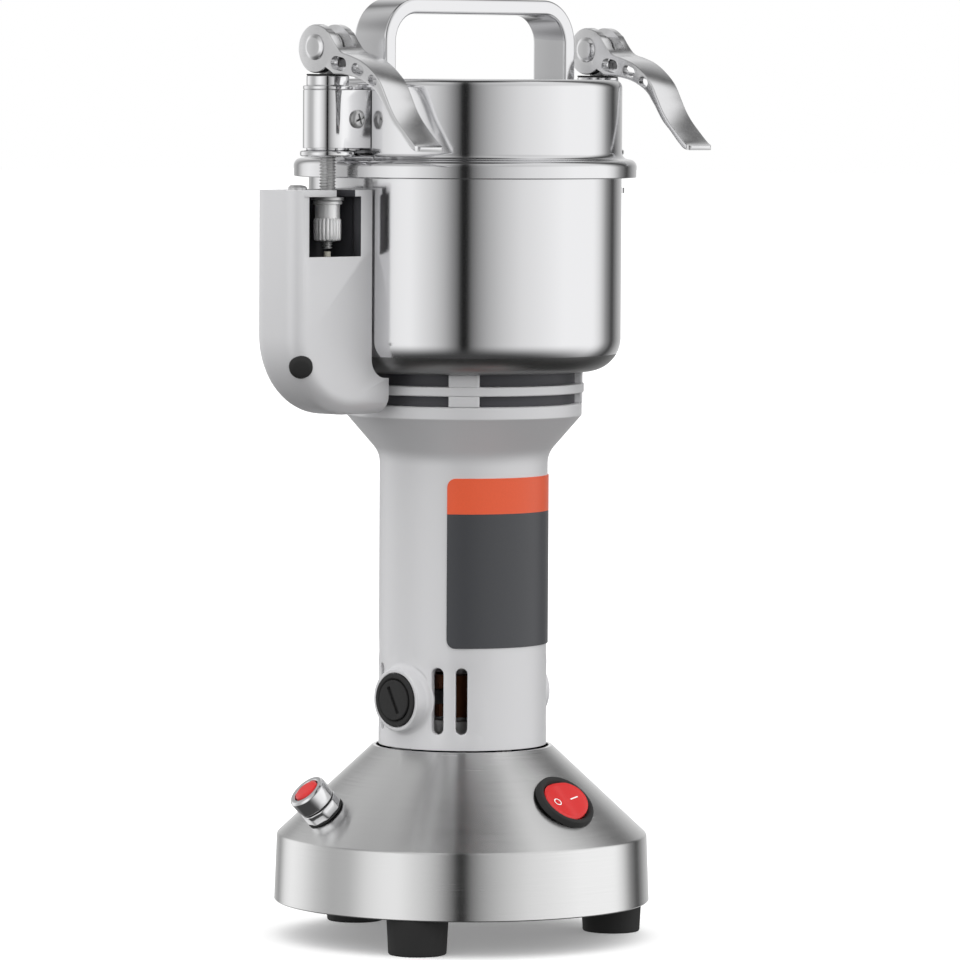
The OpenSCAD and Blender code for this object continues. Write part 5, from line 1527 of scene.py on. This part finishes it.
@dataclass
class Latch:
    """One cam latch: seat, rod, pin, lever, washer and nut. In millimetres."""

    side: Side
    rod_x: float = 68.3
    rod_r: float = 2.95
    rod_low: float = 248.3
    rod_neck: float = 3.6
    rod_point: Flat = (2.4, 1.1)
    thread_high: float = 282.0
    thread_depth: float = 0.55
    pitch: float = 1.05
    eye_r: float = 5.0
    eye_t: float = 5.6
    bore_rs: Flat = (3.05, 3.04)
    pin_z: float = 318.9
    # Radius, distance past the lever's side and rounding of the pin's head
    pin_head: Profile = ((3.0, -1.0, 0.0), (3.0, 0.02, 0.0), (4.6, 0.02, 0.1), (4.6, 0.4, 0.25),
                         (3.3, 1.1, 2.0), (0.0, 1.25, 0.0))
    lever_l: float = 52.0
    lever_drop: float = 36.0
    lever_w: float = 12.8
    fork_w: float = 6.2
    fork_r: float = 11.0
    cheek: float = 2.2
    ear_r: float = 8.5
    ear_z: float = 318.3
    tip_r: float = 2.5
    top_shares: tuple[Flat, ...] = (
        (0.12, -0.16), (0.23, 0.025), (0.34, 0.08), (0.44, 0.13), (0.54, 0.22), (0.63, 0.34),
        (0.69, 0.485), (0.74, 0.61), (0.8, 0.72), (0.885, 0.84), (0.955, 0.93), (1.0, 0.962))
    low_shares: tuple[Flat, ...] = (
        (0.988, 1.0), (0.94, 0.985), (0.885, 0.92), (0.81, 0.81), (0.73, 0.7), (0.65, 0.54),
        (0.57, 0.41), (0.44, 0.315), (0.28, 0.268), (0.19, 0.262), (0.14, 0.23), (0.1, 0.2))
    # Shares along and down, radius, length between the ends' centres, tilt in degrees
    holes: tuple[tuple[float, float, float, float, float], ...] = (
        (0.23, 0.16, 2.4, 3.0, 10.0), (0.413, 0.218, 1.9, 2.4, 20.0),
        (0.556, 0.322, 1.6, 1.4, 34.0))
    channel: Flat = (7.8, 41.6)
    seat: Profile = ((3.1, 309.0, 0.0), (7.5, 309.0, 0.1), (7.5, 309.5, 0.2), (3.1, 309.5, 0.1))
    washer: Profile = ((3.0, 265.2, 0.1), (5.9, 265.2, 0.2), (5.9, 266.4, 0.2),
                       (3.0, 266.4, 0.1))
    nut_levels: Flat = (251.1, 265.1)
    knurl_share: float = 0.56
    knurl_count: int = 20
    knurl_depth: float = 0.5

    @property
    def upright(self) -> Matrix:
        """The frame on the rod's axis at the floor."""
        return Matrix.Translation((self.rod_x * self.side.value, 0.0, 0.0))

    @property
    def across(self) -> Matrix:
        """The frame on the pin whose X is the world's Y, Y its Z and Z its X."""
        return Matrix.Translation((self.rod_x * self.side.value, 0.0, self.pin_z)) @ SIDE_FRAME

    def lever_point(self, shares: Flat, drop: float = 0.0) -> Flat:
        """A place on the lever's side view, from its shares."""
        return (-shares[0] * self.lever_l, -shares[1] * self.lever_drop - drop)

    def build(self) -> None:
        """Builds and dresses the latch."""
        word = self.side.word
        for piece, finish, body, node in (
                (self.lever(), LEVER_METAL, "cam_lever", "lever"),
                (self.rod(), SCREW_STEEL, "pull_rod", "rod"),
                (self.pin(), CHROME, "pull_rod", "cam_pin"),
                (turned(f"{word}_cam_seat_turned", self.seat, 64, self.upright),
                 BLACK_PLASTIC, "seat", "cam_seat"),
                (turned(f"{word}_washer_turned", self.washer, 56, self.upright),
                 SCREW_STEEL, "nut_washer", "washer"),
                (self.nut(), NUT_METAL, "adjuster", "nut")):
            dress(piece, finish, f"{word}_{body}", f"{word}_{node}")

    def lever_side(self) -> list[Flat]:
        """The lever's outline from the side, its ear on the pin."""
        ear_y = self.ear_z - self.pin_z
        top = smooth_line([self.lever_point(p) for p in self.top_shares])
        low = smooth_line([self.lever_point(p) for p in self.low_shares])
        start = math.atan2(low[-1][1] - ear_y, low[-1][0])
        swing = math.atan2(top[0][1] - ear_y, top[0][0]) - start
        chords = 40
        ear = [(self.ear_r * math.cos(start + swing * k / chords),
                ear_y + self.ear_r * math.sin(start + swing * k / chords))
               for k in range(chords + 1)]
        return ear + top[1:] + low[:-1]

    def tip_cutter(self) -> bpy.types.Object:
        """What rounds the lever's tip, seen from above."""
        half, tip, count = self.lever_w / 2, self.tip_r, 24
        arc = []
        for k in range(count + 1):
            turn = math.pi * k / count
            middle = math.copysign(half - tip, count / 2 - k) if 2 * k != count else 0.0
            arc.append((middle + tip * math.cos(turn),
                        tip - self.lever_l - tip * math.sin(turn)))
        far, wide = -self.lever_l - 2.0, half + 2.0
        return block([(wide, arc[0][1]), *arc, (-wide, arc[0][1]), (-wide, far), (wide, far)],
                     self.pin_z - 60.0, self.pin_z, self.upright)

    def lever(self) -> bpy.types.Object:
        """The cast lever: forked ears, channel below, three holes and a round tip."""
        half = self.lever_w / 2
        draft = Draft()
        draft.plate(self.lever_side(), -half, half, edge=0.5, frame_at=self.across)
        body = draft.build(f"{self.side.word}_lever_cast")
        web = smooth_line([self.lever_point(p, self.cheek + 0.1) for p in self.top_shares])
        web = [p for p in web if self.channel[0] < -p[0] < self.channel[1]]
        under = web + [(web[-1][0], -60.0), (web[0][0], -60.0)]
        cuts = [(circle(self.fork_r, 64), self.fork_w / 2), (under, half - self.cheek),
                (circle(self.bore_rs[0], 40), half + 1.0)]
        cuts += [(oval(radius, length, 36, self.lever_point((along, down)), tilt), half + 1.0)
                 for along, down, radius, length, tilt in self.holes]
        cutters = [block(outline, -reach, reach, self.across) for outline, reach in cuts]
        carve(body, [*cutters, self.tip_cutter()], bevel=0.3, sharp=34.0)
        return body

    def rod(self) -> bpy.types.Object:
        """The latch rod with its thread and eye."""
        draft = Draft()
        steps, parts = 32, 8
        rows = round((self.thread_high - self.rod_low) / self.pitch * parts)
        rings = [draft.round(0.0, self.rod_low, steps, self.upright)]
        for row in range(rows + 1):
            z = self.rod_low + row * self.pitch / parts
            thin = self.rod_point[1] if z < self.rod_low + self.rod_point[0] else 0.0
            line = []
            for k in range(steps):
                wave = 0.5 + 0.5 * math.cos(FULL * (row / parts - k / steps))
                ease = min(1.0, (rows - row) / parts)
                radius = self.rod_r - self.thread_depth * wave * ease - thin
                line.append(self.upright @ polar(radius, FULL * k / steps, z))
            rings.append(draft.ring(line))
        rings.append(draft.round(self.rod_r, self.pin_z - self.rod_neck, steps, self.upright))
        draft.skin(rings)
        draft.plate(circle(self.eye_r), -self.eye_t / 2, self.eye_t / 2,
                    holes=[circle(self.bore_rs[1], 40)], edge=0.5, frame_at=self.across)
        return draft.build(f"{self.side.word}_rod_threaded", sharp=60.0)

    def pin(self) -> bpy.types.Object:
        """The cam pin with its domed heads."""
        draft = Draft()
        head = rounded([(r, self.lever_w / 2 + z, bend) for r, z, bend in self.pin_head],
                       closed=False)
        draft.lathe([(r, -z) for r, z in reversed(head)] + head, 48, frame_at=self.across)
        return draft.build(f"{self.side.word}_cam_pin_riveted")

    def nut(self) -> bpy.types.Object:
        """The knurled nut with its smooth neck and collar."""
        low, high = self.nut_levels
        neck = low + self.knurl_share * (high - low)
        steps = 240
        draft = Draft()
        # Height, radius and share of the knurl's depth
        rows = ((low, 3.0, 0.0), (low, 4.35, 0.3), (low + 0.45, 4.85, 1.0),
                (neck - 0.45, 4.85, 1.0), (neck, 4.4, 0.3), (neck, 4.4, 0.0),
                (high - 1.35, 4.4, 0.0), (high - 1.19, 5.05, 0.0), (high - 0.95, 5.15, 0.0),
                (high - 0.25, 5.15, 0.0), (high, 4.95, 0.0), (high, 3.0, 0.0))
        rings = []
        for z, radius, depth in rows:
            line = []
            for k in range(steps):
                turn = FULL * k / steps
                flute = abs(math.sin(turn * self.knurl_count / 2)) ** 0.7
                reach = radius - self.knurl_depth * depth * (1.0 - flute)
                line.append(self.upright @ polar(reach, turn, z))
            rings.append(draft.ring(line))
        draft.skin(rings, closed=True)
        return draft.build(f"{self.side.word}_nut_knurled", sharp=48.0)


@dataclass
class LidFittings:
    """The sleeves, straps and screws of both latches, which ride on the lid. In millimetres."""

    latches: Sequence[Latch]
    wall_r: float = 56.4
    strap_r: float = 8.2
    strap_t: float = 1.0
    strap_levels: Flat = (283.5, 304.0)
    screw: PanScrew = field(default_factory=lambda: PanScrew(3.3, 1.7))
    screw_x: float = 62.4
    screw_z: float = 293.75
    sleeve: Profile = ((3.05, 280.6, 0.2), (9.7, 280.6, 0.7), (9.7, 282.5, 0.7),
                       (7.5, 282.9, 0.3), (7.5, 304.05, 0.0), (8.7, 304.05, 0.35),
                       (8.7, 305.35, 0.35), (7.5, 305.6, 0.2), (7.5, 309.0, 0.5),
                       (3.05, 309.0, 0.3))

    def build(self) -> None:
        """Builds and dresses the fittings."""
        sleeves, straps, screws = Draft(), Draft(), Draft()
        for latch in self.latches:
            sign = latch.side.value
            sleeves.lathe(rounded(self.sleeve), 80, closed=True, frame_at=latch.upright)
            self.strap(straps, latch)
            at = Vector((self.screw_x, self.strap_r + self.strap_t / 2, self.screw_z))
            self.screw.add(screws, towards(Vector((0.0, sign, 0.0)),
                                           Vector((at.x * sign, at.y * sign, at.z))))
        dress(sleeves.build("latch_sleeves_turned"), CHROME, "lid", "latch_sleeves")
        dress(straps.build("latch_straps_bent"), CHROME, "lid", "latch_straps")
        dress(screws.build("latch_screws_pan"), SCREW_STEEL, "lid", "latch_screws")

    def strap(self, draft: Draft, latch: Latch) -> None:
        """Adds a strap: round the sleeve and back to the lid's wall."""
        leg, chords = self.strap_r, 24
        line = [(math.sqrt(self.wall_r ** 2 - leg ** 2), leg), (latch.rod_x, leg)]
        turns = [math.pi / 2 - math.pi * k / chords for k in range(1, chords)]
        bend = [(latch.rod_x + leg * math.cos(turn), leg * math.sin(turn)) for turn in turns]
        middle = [(x * latch.side.value, y)
                  for x, y in line + bend + [(x, -y) for x, y in reversed(line)]]
        outer, inner = ([tuple(Vector(point) + out * (off * self.strap_t / 2))
                         for point, out in zip(middle, normals(middle))] for off in (1, -1))
        draft.plate(outer + inner[::-1], *self.strap_levels, edge=0.22)


@dataclass
class KeptNodes:
    """CAD nodes that are shown as they are, with their finishes by the record's slots."""

    finishes: tuple[Finish, ...] = (
        SPUN_STEEL, POLISHED_STEEL, LEVER_METAL, BLADE_STEEL, SCREW_STEEL, CHROME, SILVER_PAINT,
        RAW_CASTING, STACKED_IRON, SHADED_COPPER, CARBON, SHADE_AND_DARK_SHEET, RUBBER, SILICONE, BLACK_PLASTIC,
        PALE_PLASTIC_SHADED, RED_PLASTIC, LABEL_FILM)

    def build(self) -> None:
        """Gives each node the finish of its slot."""
        by_slot = {finish.slot: finish for finish in self.finishes}
        for part in frame["record"]["subparts"]:
            finish, node = by_slot[part["material_slot"]], frame["nodes"][part["node"]]
            node.data.materials.clear()
            node.data.materials.append(finish.made())
            LOG.info("%s keeps its shape, finish %s", part["node"], finish.name)


def main() -> None:
    """Builds the studio and the mill, sub-assembly by sub-assembly."""
    logging.basicConfig(level=logging.INFO, format="%(name)s: %(message)s")
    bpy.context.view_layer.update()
    latches = [Latch(side) for side in Side]
    for assembly in (KeptNodes(), Studio(), Base(), Column(), Chamber(), Lid(), LatchBox(),
                     *latches, LidFittings(latches)):
        assembly.build()


if __name__ == "__main__":
    main()
